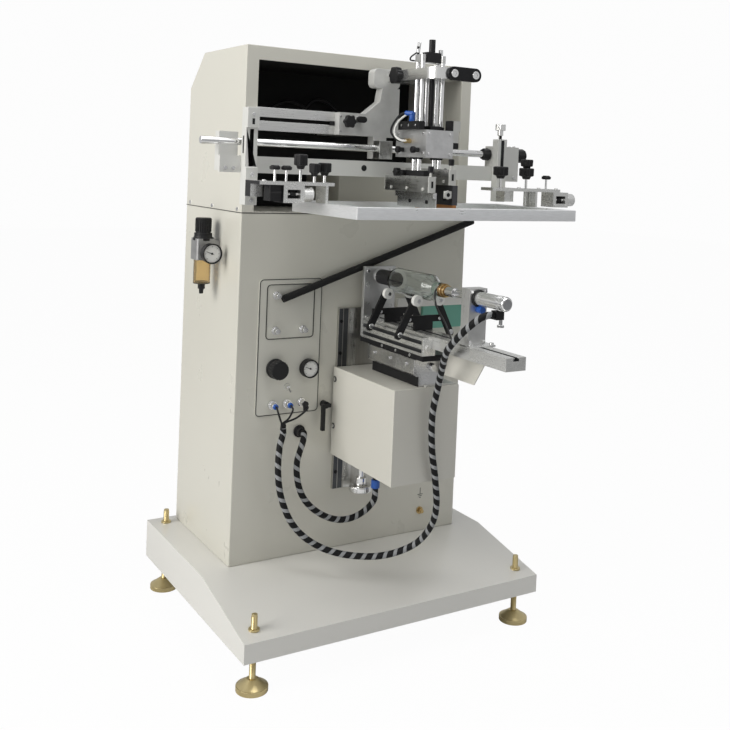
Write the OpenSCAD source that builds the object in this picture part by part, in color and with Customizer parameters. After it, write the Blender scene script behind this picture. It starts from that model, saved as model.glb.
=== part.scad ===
// Curved surface screen printing machine: a sheet-steel cabinet on a levelled plinth,
// a screen carriage that slides left and right, a lifting squeegee head above it and a
// height-adjustable roller fixture that turns a bottle under the screen.
// X runs to the right, Y to the back and Z up. Millimetres.

/* [Plinth] */
// How far the plinth stands out beside the cabinet
plinth_side = 67.5; // [55:0.5:120]
// How far the plinth stands out in front of the cabinet
plinth_front = 246; // [180:2:300]
// How far the plinth stands out behind the cabinet
plinth_rear = 14; // [4:1:60]
// Height of the plinth's flat top above the floor
plinth_top = 160; // [140:2:220]
// Height of the plinth's underside above the floor
plinth_under = 73; // [60:1:90]
// Height of the plinth's low front edge above the floor
plinth_front_top = 113; // [104:1:130]
// Flat strip of plinth top in front of the cabinet before it slopes down
plinth_flat = 17; // [8:1:40]

/* [Levelling feet] */
// Radius of a foot's round pad
foot_pad_r = 32.5; // [24:0.5:36]
// Thickness of a foot's pad at its rim
foot_pad_h = 10; // [6:1:14]
// Radius of a foot's stud
foot_stud_r = 6; // [4:0.5:8]
// Distance of a foot from the plinth's side
foot_side = 36; // [34:1:60]
// Distance of a front foot from the plinth's front edge
foot_front = 36; // [34:1:60]
// Distance of a rear foot from the plinth's rear edge
foot_rear = 34; // [34:1:60]
// Length of stud that stands out above the plinth
foot_stud_out = 32; // [10:1:50]
// Width of a foot's lock nut across its corners
foot_nut_d = 24; // [18:1:34]

/* [Cabinet] */
// Width of the cabinet
cabinet_w = 600; // [560:5:660]
// Depth of the cabinet
cabinet_d = 333; // [300:5:400]
// Height of the cabinet above the plinth
cabinet_h = 774; // [740:2:820]

/* [Hood] */
// Height of the hood above the cabinet
hood_h = 363; // [350:1:420]
// Depth of the hood's flat top before the rear slope
hood_top_d = 248; // [200:2:280]
// Drop of the rear slope
hood_slope_h = 80; // [30:1:120]
// Width of the hood's posts beside the front opening
hood_post_w = 29; // [20:1:40]
// Height of the hood's band above the front opening
hood_band_h = 31; // [20:1:40]
// Thickness of the hood's sheet floor
hood_floor_t = 3; // [2:0.5:6]
// Depth of the hollow behind the front opening
hood_hollow_d = 240; // [200:2:245]
// Thickness of the black lining on the hollow's back wall
lining_t = 3; // [2:0.5:6]
// Depth of the drive housing inside the hollow
drive_box_d = 170; // [120:2:180]
// Height of the drive housing
drive_box_h = 96; // [60:1:110]
// Distance from the machine's middle to the drive housing's left end
drive_box_left = 25; // [0:1:60]

/* [Control panel] */
// Width of the control panel
panel_w = 157; // [130:1:175]
// Height of the control panel
panel_h = 306; // [280:1:330]
// Gap between the panel and the lift column
panel_gap = 42; // [36:1:60]
// Distance of the panel's top edge below the cabinet's top
panel_drop = 144; // [130:1:160]
// Thickness of the panel
panel_t = 2; // [1:0.5:4]
// Radius of the panel's corners
panel_corner_r = 10; // [4:1:20]
// Radius of a needle valve's body
valve_r = 6; // [4:0.5:9]
// Length of a needle valve
valve_l = 20; // [12:1:30]
// Spacing of the needle valves across the panel
valve_dx = 68; // [50:1:90]
// Spacing of the needle valves up the panel
valve_dz = 78; // [50:1:90]
// Radius of the pressure knob
pressure_knob_r = 20; // [14:1:24]
// Length of the pressure knob
pressure_knob_l = 30; // [20:1:40]
// Radius of the panel's pressure gauge
gauge_r = 21; // [16:1:25]
// Depth of the panel's pressure gauge
gauge_d = 14; // [8:1:24]
// Radius of an air socket
socket_r = 7; // [5:0.5:9]
// Length of an air socket
socket_l = 22; // [14:1:30]
// Spacing of the air sockets
socket_dx = 36; // [26:1:44]
// Length of the toggle switch's lever
toggle_l = 16; // [10:1:22]

/* [Filter regulator] */
// Distance of the filter regulator's middle below the cabinet's top
filter_drop = 89; // [70:1:180]
// Distance of the filter regulator behind the cabinet's front
filter_y = 128; // [90:1:180]
// Distance of the filter regulator's axis from the cabinet's side
filter_out = 35; // [28:1:50]
// Width of the filter regulator's body
filter_body_w = 42; // [34:1:48]
// Height of the filter regulator's body
filter_body_h = 48; // [40:1:60]
// Radius of the filter regulator's bowl
bowl_r = 19; // [14:1:24]
// Length of the bowl
bowl_l = 54; // [40:1:70]
// Wall of the bowl
bowl_wall = 2.5; // [1.5:0.5:4]
// Radius of the air inlet's bore
inlet_r = 4; // [3:0.5:6]
// Depth of the air inlet's bore
inlet_l = 22; // [16:1:30]
// Radius of the filter regulator's gauge
filter_gauge_r = 22; // [16:1:26]

/* [Lift column] */
// Distance from the machine's middle to the middle of the lift column
column_x = 22; // [10:1:30]
// Width of the lift column
column_w = 150; // [130:2:150]
// Thickness of the lift column
column_t = 8; // [5:1:9]
// Distance of the column's top below the cabinet's top
column_drop = 216; // [206:2:240]
// Height of the lift column
column_h = 418; // [390:2:440]

/* [Lift box] */
// Width of the lift box
lift_w = 164; // [164:1:180]
// Depth of the lift box from the cabinet's face to its front
lift_d = 266; // [255:1:280]
// Distance of the lift box's top below the column's top at rest
lift_drop = 133; // [130:1:150]
// Height of the lift box
lift_h = 202; // [180:1:205]
// Gap between the lift box's side skirts and the cabinet
lift_gap = 5; // [5:0.5:8]
// Gap between the lift box's back and the column
lift_back_gap = 5; // [5:0.5:8]
// Radius of the handwheel
wheel_r = 26; // [20:1:30]
// Distance of the handwheel's rim under the lift box
wheel_drop = 68; // [50:1:80]
// Distance of the lift screw from the cabinet's face
wheel_y = 45; // [40:1:60]
// Radius of the lift screw
screw_r = 7; // [5:0.5:9]

/* [Fixture] */
// Distance from the machine's middle to the line where the bottle turns
axis_x = 37; // [34:1:40]
// Height of the bottle's axis above the fixture plate
axis_over = 137; // [132:1:142]
// Height of the lower slide block on the lift box
slide_low_h = 22; // [14:1:26]
// Height of the upper dovetail slide
slide_top_h = 37; // [32:1:44]
// Width of the dovetail slide
slide_w = 90; // [80:1:100]
// Length of the dovetail slide
slide_l = 187; // [150:1:190]
// Width of the black fixture plate
plate_w = 84; // [80:1:96]
// Thickness of the black fixture plate
plate_t = 12; // [8:0.5:14]
// Distance of the fixture plate's back edge from the cabinet's face
plate_back = 25; // [24:1:28]
// Length of the fixture plate
plate_l = 257; // [250:1:260]
// Width of the upright slotted profile
upright_w = 20; // [16:1:22]
// Height of the upright slotted profile
upright_h = 38; // [34:1:42]
// Width of the long rail
rail_w = 48; // [40:1:50]
// Height of the long rail
rail_h = 26; // [20:1:28]
// Distance of the long rail's front end from the cabinet's face
rail_front = 533; // [500:1:560]
// Width of the slots in the aluminium profiles
slot_w = 8; // [5:0.5:9]
// Thickness of the gusset under the long rail
gusset_t = 3; // [2:0.5:5]
// Distance of the gusset's front corner from the cabinet's face
gusset_front = 409; // [390:1:430]
// Thickness of the headstock plate
headstock_t = 10; // [8:1:12]
// Height of the headstock plate's top above the bottle's axis
headstock_over = 23; // [16:1:26]
// Thickness of the tailstock block
tail_t = 27; // [20:1:34]
// Width of the tailstock block
tail_w = 43; // [36:1:46]
// Height of the tailstock block above the bottle's axis
tail_over = 19; // [16:1:24]
// Distance of the tailstock block's back face from the cabinet's face
tail_y = 381; // [376:1:400]
// Radius of the tailstock's air cylinder
air_cyl_r = 14; // [10:0.5:16]
// Length of the tailstock's air cylinder
air_cyl_l = 88; // [60:1:120]
// Radius of the tailstock's twin piston rods
piston_r = 3; // [2:0.5:3.5]
// Distance of the twin piston rods above and below the bottle's axis
piston_dz = 4.5; // [4:0.5:6]

/* [Bottle and rollers] */
// Radius of the sample bottle
bottle_r = 28; // [24:0.5:28]
// Length of the bottle's straight body
bottle_body_l = 132; // [120:1:136]
// Length of the bottle's shoulder
bottle_shoulder_l = 22; // [14:1:26]
// Radius of the bottle's neck
bottle_neck_r = 13; // [10:0.5:15]
// Length of the bottle's neck
bottle_neck_l = 22; // [14:1:26]
// Distance of the bottle's base from the cabinet's face
bottle_back = 108; // [104:1:112]
// Radius of the chuck
chuck_r = 17; // [12:0.5:20]
// Radius of a support roller
roller_r = 12; // [10:0.5:13]
// Width of a support roller
roller_w = 10; // [8:0.5:12]
// Angle of a support roller below the bottle's axis
roller_angle = 45; // [40:1:48]
// Distance of the back pair of rollers from the cabinet's face
roller_back_y = 116; // [114:1:130]
// Distance of the front pair of rollers from the cabinet's face
roller_front_y = 233; // [210:1:234]
// Thickness of a roller arm
arm_t = 6; // [4:0.5:8]
// Width of a roller arm
arm_w = 16; // [12:1:20]

/* [Screen carriage] */
// Height of the slide rod's axis above the screen frame's underside
rod_over = 146; // [142:1:148]
// Distance of the slide rod in front of the cabinet's face
rod_y = 60; // [58:1:64]
// Radius of the slide rod
rod_r = 8; // [6:0.5:9]
// Running clearance between the slide rod and its bearing
rod_clear = 0.05; // [0.02:0.01:0.1]
// How far the slide rod stands out beyond the left column's middle
rod_out = 97.5; // [80:0.5:110]
// Height of the flat carriage bar
bar_h = 35; // [28:1:36]
// Thickness of the flat carriage bar
bar_t = 8; // [6:0.5:10]
// Height of the carriage bar's top edge above the screen frame's underside
bar_over = 117; // [112:1:118]
// Width of a carriage column
post_w = 27; // [22:1:32]
// Depth of a carriage column
post_d = 22; // [16:1:26]
// Distance of the left column's middle outside the screen frame
post_left_out = 135; // [132:0.5:140]
// Distance of the right column's middle inside the screen frame's right edge
post_right_in = 51.5; // [48:0.5:56]
// Height of the left column's foot above the screen frame's underside
post_foot_over = 16; // [10:1:22]
// Height of the left column
post_left_h = 201; // [180:1:220]
// Height of the right column
post_right_h = 150; // [146:1:170]

/* [Screen frame] */
// Width of the screen frame
frame_w = 571; // [540:1:600]
// Depth of the screen frame
frame_d = 285; // [280:1:300]
// Distance of the frame's back edge from the cabinet's face
frame_back = 20; // [15:1:20]
// Distance from the machine's middle to the frame's middle
frame_x = 96; // [80:1:110]
// Height of the frame's underside above the bottle's axis
screen_over = 147; // [145:1:151]
// Side of the frame's square tube
frame_tube = 25; // [20:1:25]
// Thickness of the stretched mesh
mesh_t = 1; // [0.5:0.1:2]

/* [Squeegee head] */
// Distance from the machine's middle to the head's middle
head_x = 44; // [42:0.5:46]
// Width of the head block
head_w = 70; // [68:1:76]
// Height of the head block
head_h = 59; // [50:1:64]
// Depth of the head block
head_d = 118; // [100:1:122]
// Distance of the head block's back face from the cabinet's face
head_back = 123; // [118:1:128]
// Height of the head block's underside above the screen frame's underside
head_over = 129; // [126:1:136]
// Radius of a vertical guide rod
guide_r = 5; // [4:0.5:5.5]
// Spacing of the guide rods across the head
guide_dx = 26; // [24:1:27]
// Spacing of the guide rods front to back
guide_dy = 20; // [18:1:24]
// Distance of the rear guide rods from the cabinet's face
guide_back = 183; // [176:1:190]
// Clearance between a guide rod and its hole
guide_clear = 0.05; // [0.02:0.01:0.1]
// Height of the head's top bracket above the screen frame's underside
bracket_over = 296; // [290:1:300]
// Thickness of the head's top bracket
bracket_t = 24; // [20:1:26]
// Radius of the head's horizontal rod
cross_rod_r = 6; // [4:0.5:7]
// Length of the blade holders
holder_l = 171; // [150:1:174]
// Width of a blade holder
holder_w = 18; // [14:1:18]
// Height of a blade holder
holder_h = 34; // [28:1:36]
// Height of the flood bar's edge above the mesh at rest
flood_over = 21; // [14:1:26]
// Height of the squeegee's edge above the mesh at rest
squeegee_over = 14; // [14:1:20]
// Thickness of the squeegee blade
squeegee_t = 9; // [6:0.5:10]
// Height of the flood holder's underside above the frame's underside
holder_over = 55; // [50:1:60]
// How much higher the squeegee's holder sits than the flood bar's
holder_step = 17; // [10:1:20]

/* [Padded bar] */
// Radius of the padded bar
pad_bar_r = 8; // [6:0.5:8]
// Distance from the panel's left edge to the bar's low end
pad_bar_in = 53; // [53:1:70]
// Distance of the bar's low end below the cabinet's top
pad_low_drop = 189; // [180:1:194]
// Distance of the bar's high end below the cabinet's top
pad_high_drop = 14; // [12:1:20]

/* [Hidden] */

$fn = 48;

// Levels, from the floor up: the column hangs from the cabinet's top, the fixture stands on
// the lift box, and the screen, the carriage and the head follow the bottle's axis
cabinet_top = plinth_top + cabinet_h;
hood_top = cabinet_top + hood_h;
column_top = cabinet_top - column_drop;
column_foot = column_top - column_h;
lift_top = column_top - lift_drop;
lift_under = lift_top - lift_h;
slide_z1 = lift_top + slide_low_h;
plate_z0 = slide_z1 + slide_top_h;
plate_z1 = plate_z0 + plate_t;
axis_z = plate_z1 + axis_over;
frame_under = axis_z + screen_over;
rod_z = frame_under + rod_over;
bar_top = frame_under + bar_over;
post_foot = frame_under + post_foot_over;
head_under = frame_under + head_over;
bracket_z = frame_under + bracket_over;
filter_z = cabinet_top - filter_drop;
panel_top = cabinet_top - panel_drop;

// Planes
plinth_w = cabinet_w + 2 * plinth_side;
column_x0 = column_x - column_w / 2;
column_x1 = column_x + column_w / 2;
mesh_top = frame_under + mesh_t;
frame_top = frame_under + frame_tube;
frame_left = frame_x - frame_w / 2;
frame_right = frame_x + frame_w / 2;
frame_front = -(frame_back + frame_d);
post_left_x = post_left_out - frame_left;
post_right_x = frame_right - post_right_in;
rod_left = post_left_x + rod_out;
plinth_y0 = -plinth_front;
plinth_y1 = cabinet_d + plinth_rear;

// Gap between a moving piece and the face it runs on
slider_gap = 0.3;

// The part's outline, used to put the origin under the middle of the machine
rail_y0 = -rail_front;
knob_r = 15;
holder_reach = 118;
outline_right = frame_right + holder_reach;
mid_x = (outline_right - rod_left) / 2;
mid_y = (rail_y0 + plinth_y1) / 2;

module placed() { translate([-mid_x, -mid_y, 0]) children(); }

// A box given by its two opposite corners
module box(lo, hi) { translate(lo) cube([hi[0] - lo[0], hi[1] - lo[1], hi[2] - lo[2]]); }

// A rectangle with round corners, centred, from squares and circles
module round_rect(w, h, r) {
    square([w - 2 * r, h], center = true);
    square([w, h - 2 * r], center = true);
    for (x = [-1, 1], y = [-1, 1]) translate([x * (w / 2 - r), y * (h / 2 - r)]) circle(r);
}

// Cylinders along the three axes, starting at the given point
module rod_x(p, r, l) { translate(p) rotate([0, 90, 0]) cylinder(r = r, h = l); }
module rod_y(p, r, l) { translate(p) rotate([-90, 0, 0]) cylinder(r = r, h = l); }
module rod_z(p, r, l) { translate(p) cylinder(r = r, h = l); }

// A drawing in X and Z given thickness from y0 towards the back
module plate_xz(y0, t) { translate([0, y0 + t, 0]) rotate([90, 0, 0]) linear_extrude(t) children(); }

// A drawing in Y and Z given thickness from x0 to the right
module plate_yz(x0, t) {
    translate([x0, 0, 0]) rotate([90, 0, 90]) linear_extrude(t) children();
}

// A black star knob on a stud that points down: p is the underside of the head
module star_knob(p, r, stud_r, stud_l) {
    lobes = 6;
    translate(p) {
        cylinder(r = r * 0.78, h = r * 0.75);
        for (i = [0 : lobes - 1]) rotate(i * 360 / lobes) translate([r * 0.72, 0, 0])
            cylinder(r = r * 0.3, h = r * 0.75, $fn = 24);
        translate([0, 0, -r * 0.35]) cylinder(r = r * 0.42, h = r * 0.35);
        translate([0, 0, -stud_l]) cylinder(r = stud_r, h = stud_l);
    }
}

// Outline of a slotted aluminium profile: w across, h high, a T-slot in each listed side
module profile_outline(w, h, left_slots, right_slots, end_slots) {
    lip = 2.5;
    wide = slot_w * 1.7;
    depth = 7;
    difference() {
        square([w, h]);
        for (z = left_slots) {
            translate([0, z - slot_w / 2]) square([depth, slot_w]);
            translate([lip, z - wide / 2]) square([depth - lip, wide]);
        }
        for (z = right_slots) {
            translate([w - depth, z - slot_w / 2]) square([depth, slot_w]);
            translate([w - depth, z - wide / 2]) square([depth - lip, wide]);
        }
        for (x = end_slots) {
            translate([x - slot_w / 2, h - depth]) square([slot_w, depth]);
            translate([x - wide / 2, h - depth]) square([wide, depth - lip]);
        }
    }
}

// Plinth: a closed sheet-steel box whose top slopes down to a low front edge
foot_xs = [-plinth_w / 2 + foot_side, plinth_w / 2 - foot_side];
foot_ys = [plinth_y0 + foot_front, plinth_y1 - foot_rear];
slope_y = -plinth_flat;
function plinth_top_at(y) = y >= slope_y ? plinth_top
    : plinth_top - (plinth_top - plinth_front_top) * (slope_y - y) / (slope_y - plinth_y0);
stud_hole_clear = 0.5;

module base_plinth() {
    color("gainsboro") difference() {
        plate_yz(-plinth_w / 2, plinth_w) polygon([
            [plinth_y0, plinth_under], [plinth_y1, plinth_under], [plinth_y1, plinth_top],
            [slope_y, plinth_top], [plinth_y0, plinth_front_top]
        ]);
        for (x = foot_xs, y = foot_ys)
            rod_z([x, y, plinth_under - 1], foot_stud_r + stud_hole_clear, plinth_top);
    }
}

// Levelling feet: a zinc-plated pad with a swivel cone, a threaded stud and a lock nut
module levelling_feet() {
    cone_h = 14;
    nut_h = 10;
    color("darkkhaki") for (x = foot_xs, y = foot_ys) {
        rod_z([x, y, 0], foot_pad_r, foot_pad_h);
        translate([x, y, foot_pad_h]) cylinder(r1 = foot_pad_r - 2, r2 = foot_stud_r + 5, h = cone_h);
        rod_z([x, y, foot_pad_h + cone_h], foot_stud_r,
              plinth_top_at(y) + foot_stud_out - foot_pad_h - cone_h);
        translate([x, y, plinth_under - nut_h]) cylinder(d = foot_nut_d, h = nut_h, $fn = 6);
    }
}

// Cabinet: a closed sheet-steel housing
module cabinet_body() {
    color("gainsboro") box([-cabinet_w / 2, 0, plinth_top], [cabinet_w / 2, cabinet_d, cabinet_top]);
}

// Hood: open at the front, with a sloped rear edge
hollow_x = cabinet_w / 2 - hood_post_w;
hollow_z0 = cabinet_top + hood_floor_t;
hollow_z1 = hood_top - hood_band_h;

module hood_shell() {
    color("whitesmoke") difference() {
        plate_yz(-cabinet_w / 2, cabinet_w) polygon([
            [0, cabinet_top], [cabinet_d, cabinet_top], [cabinet_d, hood_top - hood_slope_h],
            [hood_top_d, hood_top], [0, hood_top]
        ]);
        box([-hollow_x, -1, hollow_z0], [hollow_x, hood_hollow_d, hollow_z1]);
    }
}

// Black lining on the hollow's back wall
lining_y = hood_hollow_d - lining_t;
module hood_lining() {
    color("black") box([-hollow_x, lining_y, hollow_z0], [hollow_x, hood_hollow_d, hollow_z1]);
}

// Drive housing on the hollow's floor
module drive_housing() {
    color("tan") box([-drive_box_left, lining_y - drive_box_d, hollow_z0],
                     [hollow_x, lining_y, hollow_z0 + drive_box_h]);
}

// Control panel: a thin plate with a raised square round the needle valves
panel_x0 = column_x0 - panel_gap - panel_w;
panel_mid_x = panel_x0 + panel_w / 2;
panel_face = -panel_t;
module on_panel(dx, dz) { translate([panel_x0 + dx, panel_face, panel_top - dz]) children(); }

// Places on the panel: distance from its left edge and below its top edge
valve_col = 40;
valve_row = 37;
knob_at = [45, 200];
gauge_at = [126, 204];
socket_at = [39, 280];
toggle_at = [76, 243];

// Toggle lever: a pin along X above a round bush
toggle_pin_r = 1.5;
toggle_pin_out = 6;
toggle_ball_r = toggle_pin_r + 2;
toggle_bush_l = toggle_pin_out - toggle_ball_r - slider_gap;

module control_panel() {
    inner_w = 118;
    inner_h = 122;
    inner_t = 1;
    inner_drop = 12;
    line_w = 1.5;
    bush_r = 7;
    color("gainsboro") {
        translate([panel_mid_x, 0, panel_top - panel_h / 2]) plate_xz(panel_face, panel_t)
            round_rect(panel_w, panel_h, panel_corner_r);
        translate([panel_mid_x, 0, panel_top - inner_drop - inner_h / 2])
            plate_xz(panel_face - inner_t, inner_t) difference() {
                round_rect(inner_w, inner_h, panel_corner_r);
                round_rect(inner_w - 2 * line_w, inner_h - 2 * line_w, panel_corner_r - line_w);
            }
        on_panel(toggle_at[0], toggle_at[1]) rod_y([0, -toggle_bush_l, 0], bush_r, toggle_bush_l);
    }
}

module needle_valves() {
    collar_l = 6;
    color("silver") for (at = [[0, 0], [0, 1], [1, 1]])
        on_panel(valve_col + at[0] * valve_dx, valve_row + at[1] * valve_dz) {
            rod_y([0, -collar_l, 0], valve_r + 3, collar_l);
            rod_y([0, -valve_l, 0], valve_r, valve_l - collar_l);
        }
}

module pressure_knob() {
    collar_l = 7;
    color("black") on_panel(knob_at[0], knob_at[1]) {
        rod_y([0, -collar_l, 0], pressure_knob_r + 2, collar_l);
        rod_y([0, -pressure_knob_l, 0], pressure_knob_r, pressure_knob_l - collar_l);
    }
}

module panel_gauge() {
    color("silver") on_panel(gauge_at[0], gauge_at[1]) rod_y([0, -gauge_d, 0], gauge_r, gauge_d);
}

module air_sockets() {
    collar_l = 8;
    color("silver") for (i = [0 : 2]) on_panel(socket_at[0] + i * socket_dx, socket_at[1]) {
        rod_y([0, -socket_l, 0], socket_r, socket_l);
        rod_y([0, -collar_l, 0], socket_r + 3, collar_l);
    }
}

// Toggle lever on the panel, which tips up and down about a pin along X
module toggle_lever() {
    ball_l = 8;
    lean = 118;
    color("silver") on_panel(toggle_at[0], toggle_at[1]) {
        rod_x([-ball_l / 2, -toggle_pin_out, 0], toggle_ball_r, ball_l);
        translate([0, -toggle_pin_out, 0]) rotate([lean, 0, 0]) cylinder(r = 2.2, h = toggle_l);
    }
}

// Black grommet where the small hose leaves the cabinet
grommet_x = panel_x0 + socket_at[0] + 2 * socket_dx;
grommet_z = panel_top - panel_h - 41;
grommet_l = 16;
module hose_grommet() {
    flange_l = 5;
    color("black") {
        rod_y([grommet_x, -flange_l, grommet_z], 14, flange_l);
        rod_y([grommet_x, -grommet_l, grommet_z], 10, grommet_l - flange_l);
    }
}

// Brass earth terminal low on the cabinet's right
earth_x = cabinet_w / 2 - 102;
earth_z = plinth_top + 51;
module earth_terminal() {
    washer_t = 3;
    stud_l = 14;
    nut_y = -5;
    color("darkgray") {
        rod_y([earth_x, -washer_t, earth_z], 9, washer_t);
        rod_y([earth_x, -stud_l, earth_z], 4, stud_l - washer_t);
        translate([earth_x, nut_y, earth_z]) rotate([90, 0, 0]) cylinder(d = 13, h = 5, $fn = 6);
    }
}

// Filter regulator on the cabinet's left side
filter_x = -cabinet_w / 2 - filter_out;
module filter_regulator() {
    knob_r = 17;
    knob_h = 34;
    collar_h = 12;
    body_z0 = filter_z - filter_body_h / 2;
    body_z1 = filter_z + filter_body_h / 2;
    port_z = filter_z - 6;
    gauge_t = 14;
    stem_l = 22;
    bracket_w = 28;
    color("dimgray") {
        rod_z([filter_x, filter_y, body_z1 + collar_h], knob_r, knob_h);
        rod_z([filter_x, filter_y, body_z1], knob_r + 3, collar_h);
        translate([filter_x, filter_y, body_z0]) linear_extrude(filter_body_h)
            round_rect(filter_body_w, filter_body_w, 5);
        box([filter_x + filter_body_w / 2, filter_y - bracket_w / 2, body_z1 - 26],
            [-cabinet_w / 2, filter_y + bracket_w / 2, body_z1 - 4]);
        rod_y([filter_x, filter_y - filter_body_w / 2 - stem_l, port_z], 5, stem_l);
        rod_y([filter_x, filter_y - filter_body_w / 2 - stem_l - gauge_t, port_z], filter_gauge_r, gauge_t);
        difference() {
            rod_y([filter_x, filter_y + filter_body_w / 2, port_z], inlet_r + 4, inlet_l + 8);
            rod_y([filter_x, filter_y + filter_body_w / 2 + 8, port_z], inlet_r, inlet_l + 1);
        }
    }
}

module filter_bowl() {
    top = filter_z - filter_body_h / 2;
    color("lightgray", 0.5) translate([filter_x, filter_y, top - bowl_l]) {
        difference() {
            cylinder(r = bowl_r, h = bowl_l);
            translate([0, 0, bowl_wall]) cylinder(r = bowl_r - bowl_wall, h = bowl_l);
        }
        translate([0, 0, -12]) cylinder(r = 8, h = 12);
    }
}

// Lift column on the cabinet's face, with two grooves for the slider
groove_w = 9;
groove_d = 3;
groove_in = 18;
module guide_column() {
    color("darkgray") difference() {
        box([column_x0, -column_t, column_foot], [column_x1, 0, column_top]);
        for (x = [column_x0 + groove_in, column_x1 - groove_in])
            box([x - groove_w / 2, -column_t - 1, column_foot - 1],
                [x + groove_w / 2, groove_d - column_t, column_top + 1]);
    }
}

// Clamp lever beside the column: a hub on a pin and a bent handle
clamp_x = column_x0 - 29;
clamp_z = column_top - 218;
module clamp_lever() {
    hub_r = 8;
    hub_l = 18;
    bar_w = 8;
    handle_l = 60;
    handle_out = 14;
    color("black") {
        rod_y([clamp_x, -hub_l, clamp_z], hub_r, hub_l - slider_gap);
        box([clamp_x - handle_out, -hub_l - bar_w, clamp_z - bar_w / 2],
            [clamp_x + hub_r, -hub_l, clamp_z + bar_w / 2]);
        box([clamp_x - handle_out, -hub_l - bar_w, clamp_z + bar_w / 2 - handle_l],
            [clamp_x - handle_out + bar_w, -hub_l, clamp_z + bar_w / 2]);
    }
}

// Padded bar that runs up across the cabinet's face on two short pins
pad_bar_y = -12;
pad_bar_x0 = panel_x0 + pad_bar_in;
pad_bar_x1 = cabinet_w / 2 + 12;
pad_bar_low = cabinet_top - pad_low_drop;
pad_bar_high = cabinet_top - pad_high_drop;
pad_bar_l = norm([pad_bar_x1 - pad_bar_x0, pad_bar_high - pad_bar_low]);
pad_bar_tilt = atan2(pad_bar_high - pad_bar_low, pad_bar_x1 - pad_bar_x0);
pad_pin_in = 60;
module padded_bar() {
    color("black") {
        translate([pad_bar_x0, pad_bar_y, pad_bar_low]) rotate([0, 90 - pad_bar_tilt, 0]) {
            cylinder(r = pad_bar_r, h = pad_bar_l);
            for (z = [pad_bar_l * 0.25, pad_bar_l - pad_pin_in]) translate([0, 0, z])
                rotate([-90, 0, 0]) cylinder(r = 4, h = -pad_bar_y);
        }
    }
}

// Green-faced plate with a white top edge on the cabinet's face
module green_plate() {
    x1 = cabinet_w / 2 - 8;
    strip_h = 22;
    strip_z0 = cabinet_top - 220;
    green_h = 55;
    color("mediumseagreen") {
        box([column_x1 + 81, -10, strip_z0 - green_h], [x1, 0, strip_z0]);
        box([column_x1 + 5, -14, strip_z0], [x1, 0, strip_z0 + strip_h]);
    }
}

// Gooseneck arm: an aluminium casting that carries the head in front of the hood
arm_y0 = -46;
arm_y1 = -20;
arm_foot_x = -88;
arm_right_x = 62;
foot_z0 = rod_z + 27;
foot_z1 = foot_z0 + 50;
arm_top = bracket_z + 32;
bearing_x0 = -3;
bearing_x1 = 31;
bearing_z0 = rod_z - 23;
bearing_z1 = rod_z + 18;
module gooseneck_arm() {
    end_h = 44;
    end_out = 8;
    neck_z = arm_top - end_h + 1;
    color("white") {
        plate_xz(arm_y0, arm_y1 - arm_y0) {
            translate([arm_foot_x, foot_z0]) square([arm_right_x - arm_foot_x, foot_z1 - foot_z0]);
            polygon([[arm_foot_x + 60, foot_z1], [10, foot_z1 + 30], [15, neck_z],
                     [arm_right_x, neck_z], [arm_right_x, foot_z1]]);
            translate([(arm_right_x - end_out) / 2, arm_top - end_h / 2])
                round_rect(arm_right_x + end_out, end_h, 12);
            translate([bearing_x0, bearing_z0]) square([bearing_x1 - bearing_x0, foot_z0 - bearing_z0]);
        }
        box([0, arm_y1, foot_z0 + 5], [50, lining_y, foot_z1 - 5]);
    }
}

// Upper slotted beam from the hood's left post to the arm's foot
beam_end_t = 6;
module upper_beam() {
    beam_x0 = -cabinet_w / 2 + 15;
    beam_d = 25;
    color("silver") {
        translate([beam_x0, -beam_d, foot_z0]) rotate([90, 0, 90])
            linear_extrude(arm_foot_x - beam_end_t - beam_x0)
                profile_outline(beam_d, foot_z1 - foot_z0, [(foot_z1 - foot_z0) / 2], [], []);
        box([arm_foot_x - beam_end_t, arm_y0, foot_z0], [arm_foot_x, 0, foot_z1]);
    }
}

// Linear bearing that the slide rod runs in
module rod_bearing() {
    color("silver") difference() {
        box([bearing_x0, -rod_y - 14, bearing_z0], [bearing_x1, arm_y0, bearing_z1]);
        rod_x([bearing_x0 - 1, -rod_y, rod_z], rod_r + rod_clear, bearing_x1 - bearing_x0 + 2);
    }
}

// Head: cross rod from the arm, top bracket, link arm and wing knob
cross_z = bracket_z + bracket_t / 2;
cross_end = -262;
bracket_l = 212;
bracket_y = arm_y0 - 5 - bracket_l / 2;
guide_ys = [-guide_back, -guide_back - guide_dy];
head_top = head_under + head_h;
module bracket_outline(l, w) {
    square([w, l - w], center = true);
    for (s = [-1, 1]) translate([0, s * (l - w) / 2]) circle(w / 2);
}
module head_cross_rod() {
    link_l = 55;
    link_dx = 9;
    wing_y = -122;
    wing_r = 18;
    wing_x = head_x - 34;
    color("silver") {
        rod_y([head_x, cross_end, cross_z], cross_rod_r, arm_y0 - cross_end);
        difference() {
            translate([head_x, bracket_y, bracket_z]) linear_extrude(bracket_t)
                bracket_outline(bracket_l, head_w - 2);
            for (s = [-1, 1], y = guide_ys)
                rod_z([head_x + s * guide_dx, y, bracket_z - 1], guide_r + guide_clear, bracket_t + 2);
        }
        for (y = guide_ys) rod_z([head_x, y, head_top], guide_r, bracket_z - head_top);
    }
    color("dimgray") {
        plate_xz(cross_end - 10, 10) translate([head_x + link_dx + link_l / 2, cross_z])
            round_rect(link_l + 30, 29, 14.4);
        rod_y([head_x + link_dx + link_l, cross_end, cross_z], 5, 20);
        translate([wing_x, wing_y, cross_z]) rotate([0, -90, 0]) cylinder(r = wing_r * 0.7, h = 14);
        for (a = [0 : 5]) translate([wing_x, wing_y, cross_z]) rotate([60 * a, 0, 0])
            translate([0, 0, wing_r * 0.65]) rotate([0, -90, 0])
                cylinder(r = wing_r * 0.34, h = 14, $fn = 24);
        rod_x([wing_x, wing_y, cross_z], 4, 34);
    }
}

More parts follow.
